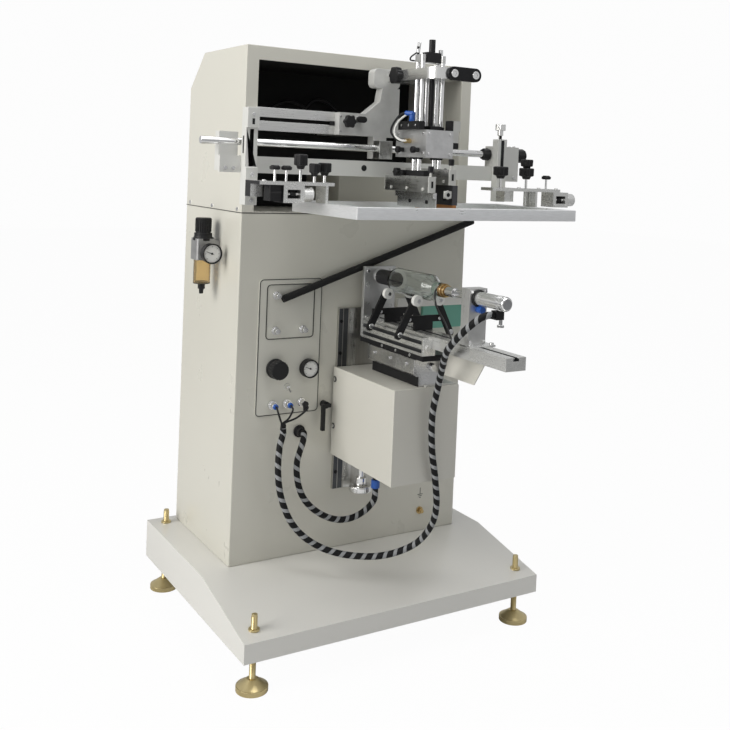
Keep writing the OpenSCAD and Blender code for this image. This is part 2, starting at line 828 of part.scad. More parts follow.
// Head block: the body of the two lifting cylinders
head_x0 = head_x - head_w / 2;
head_x1 = head_x + head_w / 2;
head_y0 = -head_back - head_d;
module head_block() {
    valve_h = 18;
    valve_l0 = 78;
    valve_y0 = head_y0 + 13;
    lug_y0 = head_y0 + 3;
    lug_d = 20;
    color("silver") {
        difference() {
            box([head_x0, head_y0, head_under], [head_x1, -head_back, head_top]);
            for (s = [-1, 1], y = guide_ys)
                rod_z([head_x + s * guide_dx, y, head_under - 1], guide_r + guide_clear, head_h + 2);
        }
        box([head_x0 - 12, valve_y0, head_top], [head_x0 + 3, valve_y0 + valve_l0, head_top + valve_h]);
        box([head_x1 - 6, lug_y0, head_top], [head_x1 + 20, lug_y0 + lug_d, head_top + valve_h + 4]);
        box([head_x1, lug_y0, head_top - 38], [head_x1 + 16, lug_y0 + lug_d, head_top]);
        for (y = [-head_back - 30, -head_back - 90])
            rod_x([head_x0 - 9, y, head_under + 16], 5, 9);
    }
}

// A lifting carrier: two guide rods, a tie block above the bracket and a blade holder below
tie_gap = 14;
tie_h = 16;
tie_z = bracket_z + bracket_t + tie_gap;
flood_z0 = frame_under + holder_over;
squeegee_z0 = flood_z0 + holder_step;
holder_y1 = -84;
module carrier(side, z0) {
    x = head_x + side * guide_dx;
    tie_w = 11;
    for (y = guide_ys) rod_z([x, y, z0 + holder_h], guide_r, tie_z - z0 - holder_h);
    translate([x, (guide_ys[0] + guide_ys[1]) / 2, tie_z]) linear_extrude(tie_h)
        round_rect(tie_w, guide_dy + tie_w, tie_w / 2 - 0.5);
    box([x - holder_w / 2, holder_y1 - holder_l, z0], [x + holder_w / 2, holder_y1, z0 + holder_h]);
}
// The squeegee's tie carries a black block with a stop rod, reaching over the head's middle
module squeegee_carrier() {
    block_w = 36;
    block_d = 20;
    stop_l = 28;
    clamp_w = 13;
    tie_x = head_x + guide_dx - 5;
    tie_y = (guide_ys[0] + guide_ys[1]) / 2;
    color("silver") {
        carrier(1, squeegee_z0);
        rod_z([head_x + guide_dx, tie_y, tie_z + tie_h], 5, 14);
        box([head_x + guide_dx - clamp_w / 2, blade_y0, squeegee_z0 - blade_clamp_h],
            [head_x + guide_dx + clamp_w / 2, blade_y1, squeegee_z0]);
    }
    color("black") {
        box([tie_x - block_w, tie_y - block_d / 2, tie_z], [tie_x, tie_y + block_d / 2, tie_z + tie_h + 6]);
        rod_z([tie_x - block_w / 2, tie_y, tie_z + tie_h + 6], 7, stop_l);
    }
}
module flood_carrier() {
    x = head_x - guide_dx;
    yoke_h = 12;
    yoke_w = 14;
    yoke_z = flood_z0 + holder_h;
    color("silver") {
        carrier(-1, flood_z0);
        rod_z([x, guide_ys[0], tie_z + tie_h], 3, 18);
        box([x - yoke_w / 2, guide_ys[1] - 30, yoke_z], [x + yoke_w / 2, guide_ys[0] + 62, yoke_z + yoke_h]);
    }
}

// Blades: an orange squeegee strip and a thin steel flood bar with its clamp
blade_y0 = -268;
blade_y1 = -125;
blade_clamp_h = 42;
module squeegee_blade() {
    x = head_x + guide_dx;
    color("peru") box([x - squeegee_t / 2, blade_y0, mesh_top + squeegee_over],
                      [x + squeegee_t / 2, blade_y1, squeegee_z0 - blade_clamp_h]);
}
module flood_blade() {
    x = head_x - guide_dx;
    color("silver") {
        box([x - 1, blade_y0 - 6, mesh_top + flood_over], [x + 1, blade_y1, flood_z0]);
        box([x - 7, blade_y0 - 6, flood_z0 - 12], [x - 1, blade_y1, flood_z0]);
    }
}

// Carriage: round slide rod, flat bar, end clamps and two slotted columns
bar_front = -rod_y - 14;
bar_back = bar_front + bar_t;
clamp_l0 = -post_left_x - 59.5;
clamp_l1 = clamp_l0 + 42;
clamp_r0 = post_right_x - post_w / 2;
clamp_r1 = clamp_r0 + 82;
rod_cover = 20;
module slide_rod() { color("silver") rod_x([-rod_left, -rod_y, rod_z], rod_r, rod_left + clamp_r1); }

module carriage_bar() {
    color("lightgray") {
        box([clamp_l0, bar_front, bar_top - bar_h], [clamp_r1, bar_back, bar_top]);
        difference() {
            box([clamp_l0, bar_back, bar_top - bar_h + 3], [clamp_l1, -rod_y + 14, rod_z + rod_cover]);
            rod_x([clamp_l0 - 1, -rod_y, rod_z], rod_r, clamp_l1 - clamp_l0 + 2);
        }
        difference() {
            box([clamp_r0, bar_front, bar_top], [clamp_r1, -rod_y + 14, rod_z + rod_cover]);
            rod_x([clamp_r0 - 1, -rod_y, rod_z], rod_r, clamp_r1 - clamp_r0 + 2);
        }
    }
    color("black") {
        difference() {
            rod_x([clamp_r0 - 20, -rod_y, rod_z], rod_r + 4, 20);
            rod_x([clamp_r0 - 21, -rod_y, rod_z], rod_r, 22);
        }
        rod_x([clamp_r1, -rod_y, rod_z], 14, 26);
    }
}

column_back = bar_front;
column_front = bar_front - post_d;
pad_t = 6;
cap_high = 42;
cap_low = 78;
module column(x, z0, h) {
    slot_d = 8;
    difference() {
        box([x - post_w / 2, column_front, z0], [x + post_w / 2, column_back, z0 + h]);
        box([x - slot_w / 2, column_front - 1, z0 + cap_low + 2],
            [x + slot_w / 2, column_front + slot_d, z0 + h - cap_high - 3]);
    }
}
module left_column() {
    x0 = -post_left_x - post_w / 2;
    z1 = post_foot + post_left_h;
    color("whitesmoke") {
        column(-post_left_x, post_foot, post_left_h);
        box([x0, column_front - pad_t, z1 - cap_high], [x0 + post_w, column_front, z1]);
        box([x0, column_front - pad_t, post_foot], [x0 + post_w, column_front, post_foot + cap_low]);
    }
}
module right_column() {
    z0 = post_foot + 17;
    z1 = z0 + post_right_h;
    y = (column_front + column_back) / 2;
    neck_l = 22;
    color("whitesmoke") {
        column(post_right_x, z0, post_right_h);
        rod_z([post_right_x, y, z1], 4, neck_l);
        rod_z([post_right_x, y, z1 + neck_l], 11, 14);
    }
}

// Screen holders: an arm from each column, a shelf, a clamp wall on the frame's bar,
// star knobs whose studs press on the frame, thumb knobs and a fine-adjuster with a round dial
shelf_z0 = frame_top + 36;
shelf_t = 7;
clamp_y = -150;
clamp_depth = 44;
bar_mid = frame_tube / 2;
stud_r = 3;
big_knob_r = 18;
shelf_in = 136;
shelf_out = 70;
inner_knob_in = 97;
thumb_near = 80;
thumb_far = 106;
thumb_over = 24;
module screen_knob(x, over, r) {
    z = shelf_z0 + over;
    star_knob([x, clamp_y + 8, z], r, stud_r, z - frame_top);
}
module shelf_knob(x, y, over, r) {
    star_knob([x, y, shelf_z0 + shelf_t + over], r, stud_r, over);
}
module thumb_knob(x, over) {
    rod_z([x, clamp_y, shelf_z0 + shelf_t + over], 11, 6);
    rod_z([x, clamp_y, shelf_z0 + shelf_t], 2.5, over);
}
module shelf(x0, x1) {
    box([x0, clamp_y - clamp_depth / 2, shelf_z0], [x1, clamp_y + clamp_depth / 2, shelf_z0 + shelf_t]);
}
module shelf_arm(post_x, y1) {
    box([post_x - post_w / 2, clamp_y + clamp_depth / 2, shelf_z0 - 26],
        [post_x + post_w / 2, y1, shelf_z0 + shelf_t]);
}
// Clamp wall that stands on the frame's bar, from x0 outwards
module clamp_wall(x0) {
    box([x0, clamp_y - clamp_depth / 2, frame_top], [x0 + 6, clamp_y + clamp_depth / 2, shelf_z0]);
}
// Fine-adjuster: a block with a window and a round dial on its right
dial_r = 15;
dial_l = 22;
adjuster_w = 47;
adjuster_out = 48;
module fine_adjuster(x0) {
    x1 = x0 + adjuster_w;
    z0 = frame_top;
    rim = 9;
    difference() {
        box([x0, clamp_y - clamp_depth / 2, z0], [x1, clamp_y + clamp_depth / 2, shelf_z0]);
        box([x0 + rim, clamp_y - clamp_depth / 2 - 1, z0 + rim], [x1 - rim, clamp_y, shelf_z0 - rim]);
    }
    rod_x([x1, clamp_y - 8, (z0 + shelf_z0) / 2], dial_r, dial_l);
}
module left_holder() {
    color("silver") {
        shelf(-post_left_x - post_w / 2, frame_left + frame_tube - 4);
        shelf_arm(-post_left_x, column_front - pad_t);
        clamp_wall(frame_left + 1);
        fine_adjuster(frame_left - adjuster_out - adjuster_w);
    }
    color("black") {
        screen_knob(frame_left + bar_mid, 29, knob_r);
        shelf_knob(frame_left - 44, clamp_y + 8, 34, knob_r);
        for (x = [frame_left - thumb_near, frame_left - thumb_far]) thumb_knob(x, thumb_over);
        box([-post_left_x + post_w / 2, clamp_y - 16, frame_top + 3],
            [frame_left - adjuster_out - adjuster_w, clamp_y + 16, shelf_z0]);
    }
}
module right_holder() {
    color("silver") {
        shelf(frame_right - shelf_in, frame_right + shelf_out);
        shelf_arm(post_right_x, column_front);
        clamp_wall(frame_right - 7);
        fine_adjuster(frame_right + adjuster_out + 1);
    }
    color("black") {
        screen_knob(frame_right - bar_mid, 37, big_knob_r);
        shelf_knob(frame_right - inner_knob_in, clamp_y, 30, big_knob_r);
        thumb_knob(frame_right + 43, thumb_over);
    }
}

// Screen: a square-tube frame and its stretched mesh
module screen_frame() {
    color("silver") difference() {
        box([frame_left, frame_front, frame_under], [frame_right, -frame_back, frame_top]);
        box([frame_left + frame_tube, frame_front + frame_tube, frame_under - 1],
            [frame_right - frame_tube, -frame_back - frame_tube, frame_top + 1]);
    }
}
module screen_mesh() {
    color("honeydew") box([frame_left + frame_tube, frame_front + frame_tube, frame_under],
                          [frame_right - frame_tube, -frame_back - frame_tube, mesh_top]);
}

// Lift box: a closed cover over the lift screw, with side skirts beside the column
lift_x0 = column_x - lift_w / 2;
lift_x1 = column_x + lift_w / 2;
lift_back = -column_t - lift_back_gap;
screw_x = 0;
hose_port = [15, -86, lift_under - 65];
port_nut_h = 18;
module elevator_box() {
    skirt_t = 2;
    color("gainsboro") {
        box([lift_x0, -lift_d, lift_under], [lift_x1, lift_back, lift_top]);
        for (x = [lift_x0, lift_x1 - skirt_t])
            box([x, lift_back, lift_under], [x + skirt_t, -lift_gap, lift_top]);
    }
}

// Slider pads that run on the column, and the lift screw under the box
module lift_slider() {
    color("gray") {
        box([column_x - 50, lift_back, lift_under + 30],
            [column_x + 50, -column_t - slider_gap, lift_top - 30]);
        rod_z([screw_x, -wheel_y, lift_under - wheel_drop + 8], screw_r, wheel_drop - 8);
        rod_z(hose_port, hose_r + 3, port_nut_h);
        rod_z([hose_port[0], hose_port[1], hose_port[2] + port_nut_h], hose_r,
              lift_under - hose_port[2] - port_nut_h);
    }
}

module handwheel() {
    rim_h = 14;
    color("silver") translate([screw_x, -wheel_y, lift_under - wheel_drop - rim_h]) difference() {
        union() {
            cylinder(r = wheel_r, h = rim_h);
            translate([0, 0, rim_h]) cylinder(r = 13, h = 18);
        }
        translate([0, 0, rim_h + 8 - slider_gap]) cylinder(r = screw_r + guide_clear, h = 20);
    }
}

// Dovetail slide: a dark base block and a silver upper block with undercut sides
slide_y0 = -lift_d + 10;
module dovetail_slide() {
    base_in = 12;
    undercut_w = 8;
    undercut_h = 6;
    color("silver") {
        box([axis_x - slide_w / 2 + base_in, slide_y0, lift_top],
            [axis_x + slide_w / 2 - base_in, slide_y0 + slide_l, slide_z1]);
        plate_xz(slide_y0, slide_l) translate([axis_x, slide_z1]) polygon([
            [-slide_w / 2, undercut_h], [-slide_w / 2 + undercut_w, 0],
            [slide_w / 2 - undercut_w, 0], [slide_w / 2, undercut_h],
            [slide_w / 2, slide_top_h], [-slide_w / 2, slide_top_h]
        ]);
    }
}

plate_x0 = axis_x - plate_w / 2;
plate_y0 = -plate_back - plate_l;
module fixture_plate() {
    color("dimgray") box([plate_x0, plate_y0, plate_z0], [plate_x0 + plate_w, -plate_back, plate_z1]);
}

// Rails: an upright two-slot profile and the long flat rail beside it
upright_x0 = plate_x0 - 3;
rail_x0 = upright_x0 + upright_w;
rail_z1 = plate_z1 + upright_h + 4;
rail_z0 = rail_z1 - rail_h;
rail_y1 = -plate_back - headstock_t;
module workpiece_rail() {
    color("silver") {
        translate([upright_x0, rail_y1, plate_z1]) rotate([90, 0, 0]) linear_extrude(rail_y1 - plate_y0)
            profile_outline(upright_w, upright_h, [upright_h * 0.27, upright_h * 0.73], [], []);
        translate([rail_x0, rail_y1, rail_z0]) rotate([90, 0, 0]) linear_extrude(rail_y1 - rail_y0)
            profile_outline(rail_w, rail_h, [], [], [rail_w / 2]);
    }
}

// Sheet gusset under the long rail
module rail_gusset() {
    y1 = slide_y0;
    z0 = slide_z1 + 4;
    color("tan") plate_yz(rail_x0 + rail_w - gusset_t, gusset_t) polygon([
        [-gusset_front, rail_z0], [-gusset_front, rail_z0 - 16], [-gusset_front + 31, z0], [y1, z0],
        [y1, plate_z0], [plate_y0, plate_z0], [plate_y0, rail_z0]
    ]);
}

// Headstock plate with the chuck's shaft bore
headstock_y1 = -plate_back;
headstock_y0 = headstock_y1 - headstock_t;
spindle_r = 8;
module headstock_plate() {
    color("silver") difference() {
        box([plate_x0, headstock_y0, plate_z1], [plate_x0 + plate_w, headstock_y1, axis_z + headstock_over]);
        rod_y([axis_x, headstock_y0 - 1, axis_z], spindle_r + guide_clear, headstock_t + 2);
    }
}

// Chuck: a black cup on a shaft in the headstock; it grips the bottle's base
module bottle_chuck() {
    color("black") {
        rod_y([axis_x, headstock_y0 - 5, axis_z], spindle_r, headstock_t + 5);
        rod_y([axis_x, -bottle_back, axis_z], chuck_r, bottle_back + headstock_y0 - 5);
    }
}

// Sample bottle: thick glass, revolved from half an outline
module sample_bottle() {
    wall = 3;
    y0 = bottle_body_l;
    y1 = y0 + bottle_shoulder_l;
    y2 = y1 + bottle_neck_l;
    color("lightcyan", 0.4) translate([axis_x, -bottle_back, axis_z]) rotate([90, 0, 0])
        rotate_extrude() polygon([
            [0, 0], [bottle_r - 3, 0], [bottle_r, 3], [bottle_r, y0], [bottle_neck_r, y1], [bottle_neck_r, y2],
            [bottle_neck_r - wall, y2], [bottle_neck_r - wall, y1], [bottle_r - wall, y0 - 2],
            [bottle_r - wall, 6], [0, 6]
        ]);
}

// Rollers: two on each side, on a shared line below the bottle
roller_dx = (bottle_r + roller_r + 0.3) * cos(roller_angle);
roller_z = axis_z - (bottle_r + roller_r + 0.3) * sin(roller_angle);
roller_ys = [-roller_back_y, -roller_front_y];
roller_pin_r = 3;
module roller_pair(side) {
    color("white") for (y = roller_ys) difference() {
        rod_y([axis_x + side * roller_dx, y - roller_w / 2, roller_z], roller_r, roller_w);
        rod_y([axis_x + side * roller_dx, y - roller_w / 2 - 1, roller_z],
              roller_pin_r + guide_clear, roller_w + 2);
    }
}
module rollers_left() { roller_pair(-1); }
module rollers_right() { roller_pair(1); }

// Roller arms: leaning plates with pins, a cross bar and a foot on the rail
arm_foot_dx = 67;
arm_foot_z = 690;
bar_z0 = 716;
module roller_arms() {
    color("dimgray") for (y = roller_ys) {
        back = y + roller_w / 2 + 1;
        for (s = [-1, 1]) {
            dx = arm_foot_dx - roller_dx;
            dz = roller_z - arm_foot_z;
            translate([axis_x + s * roller_dx, back + arm_t, roller_z]) rotate([90, 0, 0])
                rotate(s * atan2(dx, dz)) linear_extrude(arm_t) {
                    translate([-arm_w / 2, -norm([dx, dz])]) square([arm_w, norm([dx, dz])]);
                    circle(arm_w / 2);
                    translate([0, -norm([dx, dz])]) circle(arm_w / 2);
                }
            rod_y([axis_x + s * roller_dx, y - roller_w / 2 - 2, roller_z], roller_pin_r, roller_w + 3);
        }
        box([axis_x - 58, back + arm_t, bar_z0], [axis_x + 58, back + arm_t + 5, bar_z0 + 14]);
        box([rail_x0, back + arm_t, rail_z1], [rail_x0 + rail_w, back + arm_t + 5, bar_z0]);
    }
}

// Tailstock: a block on the rail, its air cylinder and the centre that holds the bottle's neck
tail_back = -tail_y;
tail_front = tail_back - tail_t;
module tailstock_block() {
    color("silver") {
        difference() {
            box([axis_x - tail_w / 2, tail_front, rail_z1],
                [axis_x + tail_w / 2, tail_back, axis_z + tail_over]);
            for (s = [-1, 1])
                rod_y([axis_x, tail_front - 1, axis_z + s * piston_dz], piston_r + guide_clear, tail_t + 2);
        }
    }
}
elbow_y = -468;
module tail_cylinder() {
    color("silver") difference() {
        rod_y([axis_x, tail_front - air_cyl_l, axis_z], air_cyl_r, air_cyl_l);
        for (s = [-1, 1])
            rod_y([axis_x, tail_front - 50, axis_z + s * piston_dz], piston_r + guide_clear, 51);
    }
    color("black") {
        rod_y([axis_x, tail_front - 16, axis_z - air_cyl_r - 8], 7, 16);
        rod_z([axis_x + 4, elbow_y, axis_z - air_cyl_r - 4], 4, 8);
        box([axis_x - 7, elbow_y - 9, axis_z - air_cyl_r - 19],
            [axis_x + 11, elbow_y + 9, axis_z - air_cyl_r - 2]);
        rod_z([axis_x + 7, elbow_y - 4, axis_z - air_cyl_r - 33], 3.5, 15);
    }
}
module tail_centre() {
    mouth = -bottle_back - bottle_body_l - bottle_shoulder_l - bottle_neck_l;
    neck_seat = 0.3;
    nose_l = 20;
    body_l = 26;
    color("darkgoldenrod") {
        translate([axis_x, mouth - neck_seat, axis_z]) rotate([90, 0, 0])
            cylinder(r1 = bottle_neck_r + 2, r2 = 10, h = nose_l);
        rod_y([axis_x, mouth - neck_seat - nose_l - body_l, axis_z], 10, body_l);
        for (s = [-1, 1])
            rod_y([axis_x, tail_front - 20, axis_z + s * piston_dz], piston_r,
                  mouth - neck_seat - nose_l - body_l - tail_front + 20);
    }
}

// Hoses: tubes swept along routes chosen by hand
function unit(v) = v / norm(v);
function catmull(p, i, t) =
    let (a = p[max(i - 1, 0)], b = p[i], c = p[i + 1], d = p[min(i + 2, len(p) - 1)])
    0.5 * (2 * b + (c - a) * t + (2 * a - 5 * b + 4 * c - d) * t * t + (3 * b - a - 3 * c + d) * t * t * t);
function route(p, steps) = [
    for (i = [0 : len(p) - 2]) for (k = [0 : steps - 1]) catmull(p, i, k / steps),
    p[len(p) - 1]
];
function along(p, i) = unit(p[min(i + 1, len(p) - 1)] - p[max(i - 1, 0)]);
function carried(p, i, n) =
    i == 0 ? unit(cross(along(p, 0), abs(along(p, 0)[2]) > 0.9 ? [1, 0, 0] : [0, 0, 1]))
           : let (m = carried(p, i - 1, n), a = along(p, i)) unit(m - a * (m * a));
module tube(points, r, steps, sides) {
    p = route(points, steps);
    n = len(p);
    frames = [for (i = [0 : n - 1]) let (a = along(p, i), u = carried(p, i, n)) [u, cross(a, u)]];
    rings = [for (i = [0 : n - 1]) for (k = [0 : sides - 1])
        p[i] + r * (cos(360 * k / sides) * frames[i][0] + sin(360 * k / sides) * frames[i][1])];
    faces = concat(
        [[for (k = [sides - 1 : -1 : 0]) k]],
        [for (i = [0 : n - 2]) for (k = [0 : sides - 1]) let (k2 = (k + 1) % sides)
            [i * sides + k, i * sides + k2, (i + 1) * sides + k2, (i + 1) * sides + k]],
        [[for (k = [0 : sides - 1]) (n - 1) * sides + k]]
    );
    polyhedron(rings, [for (f = faces) [for (j = [len(f) - 1 : -1 : 0]) f[j]]]);
}

// Each route point is a place and its share of the far end's shift, so that both ends stay
// at their fittings when the machine is resized
hose_r = 7;
function moved_route(p, a, b) =
    let (da = a - shown(p[0]), db = b - shown(p[len(p) - 1]))
    [for (q = p) shown(q) + (1 - q[3]) * da + q[3] * db];
function shown(q) = [q[0], q[1], q[2]];
sleeve_in = 52;
sleeve_drop = 325;
main_start = [panel_x0 + sleeve_in, -40, panel_top - sleeve_drop];
main_end = [axis_x - 7, elbow_y, axis_z - air_cyl_r - 10];
main_points = [
    [-200, -40, 465, 0], [-200, -40, 458, 0], [-200, -40, 451, 0], [-212, -50, 425, 0],
    [-220, -64, 375, 0], [-213, -72, 320, 0.05], [-190, -84, 265, 0.1], [-150, -100, 225, 0.15],
    [-100, -124, 202, 0.2], [-40, -155, 195, 0.3], [5, -185, 205, 0.4], [42, -220, 234, 0.5],
    [58, -250, 280, 0.6], [55, -270, 330, 0.7], [40, -282, 395, 0.8], [26, -286, 460, 0.9],
    [22, -288, 530, 1], [24, -300, 590, 1], [8, -335, 640, 1], [-10, -375, 685, 1],
    [-12, -420, 725, 1], [0, -455, 758, 1], [12, -467, 768, 1], [20, -468, 769, 1],
    [25, -468, 769, 1], [30, -468, 769, 1]
];
main_route = moved_route(main_points, main_start, main_end);
module main_hose() { color("dimgray") tube(main_route, hose_r, 2, 10); }

small_start = [grommet_x, -grommet_l - slider_gap, grommet_z];
small_end = [hose_port[0], hose_port[1], hose_port[2] - slider_gap];
small_points = [
    [-141, -16.3, 443, 0], [-141, -21, 443, 0], [-141, -26, 443, 0], [-150, -40, 430, 0],
    [-167, -48, 388, 0.05], [-168, -58, 346, 0.15], [-154, -62, 310, 0.3], [-128, -66, 282, 0.45],
    [-96, -70, 262, 0.6], [-64, -74, 253, 0.7], [-32, -78, 256, 0.8], [-6, -82, 269, 0.9],
    [11, -85, 286, 1], [15, -86, 299, 1], [15, -86, 308, 1], [15, -86, 317.7, 1]
];
small_route = moved_route(small_points, small_start, small_end);
module small_hose() { color("dimgray") tube(small_route, hose_r, 2, 10); }

module socket_tubes() {
    tube_dx = 4.6;
    tube_r = 2.2;
    start_lead = 8;
    color("black") for (i = [0 : 2]) {
        x = panel_x0 + socket_at[0] + i * socket_dx;
        z = panel_top - socket_at[1];
        end = [main_start[0] + (i - 1) * tube_dx, main_start[1], main_start[2]];
        y = panel_face - socket_l;
        tube([[x, y - slider_gap, z], [x, y - start_lead / 2, z], [x, y - start_lead, z - 1],
              [x, y - 14, z - 8], [(x + end[0]) / 2, y - 18, z - 24], end + [0, 0, 12],
              end + [0, 0, 6], end + [0, 0, slider_gap]], tube_r, 2, 8);
    }
}

// Cable loops on the hood's back wall, above the slotted beam
cable_r = 4;
cable_points = [
    [-152, lining_y - slider_gap, -12], [-152, 230, -12], [-152, 225, -10], [-141, 218, 12],
    [-120, 218, 25], [-93, 218, 33], [-66, 218, 29], [-46, 218, 21], [-30, 218, 36], [-11, 218, 42],
    [15, 218, 37], [36, 218, 23], [52, 218, 10], [62, 224, 2], [62, 230, 0], [62, lining_y - slider_gap, 0]
];
module hood_cables() {
    color("black") tube([for (q = cable_points) [q[0], q[1], foot_z1 + q[2]]], cable_r, 2, 8);
}

placed() base_plinth();
placed() levelling_feet();
placed() cabinet_body();
placed() hood_shell();
placed() hood_lining();
placed() drive_housing();
placed() control_panel();
placed() needle_valves();
placed() pressure_knob();
placed() panel_gauge();
placed() air_sockets();
placed() hose_grommet();
placed() earth_terminal();
placed() filter_regulator();
placed() filter_bowl();
placed() guide_column();
placed() padded_bar();
placed() green_plate();
placed() gooseneck_arm();
placed() upper_beam();
placed() rod_bearing();
placed() head_cross_rod();
placed() head_block();
placed() toggle_lever();
placed() clamp_lever();
placed() slide_rod();
placed() carriage_bar();
placed() left_column();
placed() right_column();
placed() left_holder();
placed() right_holder();
placed() screen_frame();
placed() screen_mesh();
placed() squeegee_carrier();
placed() squeegee_blade();
placed() flood_carrier();
placed() flood_blade();
placed() elevator_box();
placed() lift_slider();
placed() dovetail_slide();
placed() fixture_plate();
placed() workpiece_rail();
placed() rail_gusset();
placed() headstock_plate();
placed() roller_arms();
placed() tailstock_block();
placed() tail_cylinder();
placed() handwheel();
placed() tail_centre();
placed() rollers_left();
placed() rollers_right();
placed() bottle_chuck();
placed() sample_bottle();
placed() main_hose();
placed() small_hose();
placed() socket_tubes();
placed() hood_cables();
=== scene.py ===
import math
import bmesh
import bpy
from mathutils import Matrix, Vector


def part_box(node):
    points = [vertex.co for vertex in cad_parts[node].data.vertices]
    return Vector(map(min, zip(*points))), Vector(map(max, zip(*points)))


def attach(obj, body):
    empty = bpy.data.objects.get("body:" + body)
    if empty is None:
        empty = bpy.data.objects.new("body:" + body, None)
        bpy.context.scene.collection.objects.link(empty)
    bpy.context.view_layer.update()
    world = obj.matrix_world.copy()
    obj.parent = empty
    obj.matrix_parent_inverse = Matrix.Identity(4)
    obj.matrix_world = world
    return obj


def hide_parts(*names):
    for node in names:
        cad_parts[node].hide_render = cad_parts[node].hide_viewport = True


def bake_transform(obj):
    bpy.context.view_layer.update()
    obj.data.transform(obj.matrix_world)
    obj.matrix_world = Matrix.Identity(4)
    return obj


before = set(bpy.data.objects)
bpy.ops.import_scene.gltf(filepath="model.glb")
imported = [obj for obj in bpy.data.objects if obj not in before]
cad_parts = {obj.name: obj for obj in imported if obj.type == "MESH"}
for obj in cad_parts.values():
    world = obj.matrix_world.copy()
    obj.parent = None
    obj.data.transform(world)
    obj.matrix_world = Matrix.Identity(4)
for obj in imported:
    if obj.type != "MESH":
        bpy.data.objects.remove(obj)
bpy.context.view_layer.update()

# Camera: stands left of the machine's front at chest height and looks slightly down.
# All places are in the machine's own millimetres: x from the cabinet's middle, y from
# its front face, z from the floor. The camera's focal length and centre are in pixels.
cabinet_lo, cabinet_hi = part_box("cabinet_body")
MIDDLE = Vector(((cabinet_lo.x + cabinet_hi.x) / 2, cabinet_lo.y, 0))


def at(x, y, z):
    return MIDDLE + Vector((x, y, z)) / 1000


def mm(point):
    return (point - MIDDLE) * 1000


FRONT, UP, DOWN, LEFT, RIGHT = (0, -1, 0), (0, 0, 1), (0, 0, -1), (-1, 0, 0), (1, 0, 0)
IMAGE = 730
FOCAL, CENTRE_X, CENTRE_Y = 973.57, 383.94, 194.8
SENSOR = 36
YAW, PITCH, ROLL = 0.55498, 0.029638, 0.041254
forward = Vector((math.sin(YAW) * math.cos(PITCH), math.cos(YAW) * math.cos(PITCH),
                  -math.sin(PITCH)))
level = Vector((math.cos(YAW), -math.sin(YAW), 0))
upright = level.cross(forward)
right = math.cos(ROLL) * level + math.sin(ROLL) * upright
up = math.cos(ROLL) * upright - math.sin(ROLL) * level
camera_data = bpy.data.cameras.new("camera")
camera_data.sensor_width = SENSOR
camera_data.lens = FOCAL / IMAGE * SENSOR
camera_data.shift_x = (IMAGE / 2 - CENTRE_X) / IMAGE
camera_data.shift_y = (CENTRE_Y - IMAGE / 2) / IMAGE
camera_data.clip_end = 60
camera = bpy.data.objects.new("camera", camera_data)
place = Matrix((right, up, -forward)).transposed().to_4x4()
place.translation = at(-1144.43, -1941.5, 1047.7)
camera.matrix_world = place
bpy.context.scene.collection.objects.link(camera)
bpy.context.scene.camera = camera
bpy.context.scene.view_settings.view_transform = "Standard"

# Studio: a white surround that lights little, one wide lamp at the left, a weak one in
# front and a strip above. The floor is pale and keeps a soft shadow.
AMBIENT, SURROUND, MIRROR_SHARE, FLOOR_SHARE = 0.19, 0.98, 0.5, 0.97
world = bpy.data.worlds.new("studio")
bpy.context.scene.world = world
world.use_nodes = True
wn = world.node_tree
wn.nodes.clear()
out = wn.nodes.new("ShaderNodeOutputWorld")
seen = wn.nodes.new("ShaderNodeLightPath")
lit = wn.nodes.new("ShaderNodeBackground")
lit.inputs["Color"].default_value = (0.95, 0.97, 1.0, 1)
lit.inputs["Strength"].default_value = AMBIENT
white = wn.nodes.new("ShaderNodeBackground")
white.inputs["Color"].default_value = (SURROUND, SURROUND, SURROUND, 1)
pick = wn.nodes.new("ShaderNodeMixShader")
either = wn.nodes.new("ShaderNodeMath")
either.operation = "MAXIMUM"
wn.links.new(seen.outputs["Is Camera Ray"], either.inputs[0])
wn.links.new(seen.outputs["Is Transmission Ray"], either.inputs[1])
mirrored = wn.nodes.new("ShaderNodeMath")
mirrored.operation = "MULTIPLY_ADD"
mirrored.use_clamp = True
wn.links.new(seen.outputs["Is Glossy Ray"], mirrored.inputs[0])
mirrored.inputs[1].default_value = MIRROR_SHARE
wn.links.new(either.outputs[0], mirrored.inputs[2])
wn.links.new(mirrored.outputs[0], pick.inputs[0])
wn.links.new(lit.outputs[0], pick.inputs[1])
wn.links.new(white.outputs[0], pick.inputs[2])
wn.links.new(pick.outputs[0], out.inputs[0])


def lamp(name, where, aim, size, power, tint):
    data = bpy.data.lights.new(name, "AREA")
    data.shape = "RECTANGLE"
    data.size, data.size_y = size
    data.energy = power
    data.color = tint
    light = bpy.data.objects.new(name, data)
    turn = (Vector(aim) - Vector(where)).to_track_quat("-Z", "Y")
    light.matrix_world = Matrix.Translation(where) @ turn.to_matrix().to_4x4()
    bpy.context.scene.collection.objects.link(light)


lamp("key_left", (-3.4, -0.1, 2.0), (0, 0, 0.8), (2.0, 2.4), 88, (1, 0.985, 0.95))
lamp("fill_front", (0.5, -2.4, 3.0), (0, -0.1, 0.8), (1.8, 1.4), 9, (1, 1, 0.98))
lamp("top_strip", (0.2, -0.4, 3.2), (0, -0.1, 0), (2.4, 1.2), 34, (1, 1, 1))

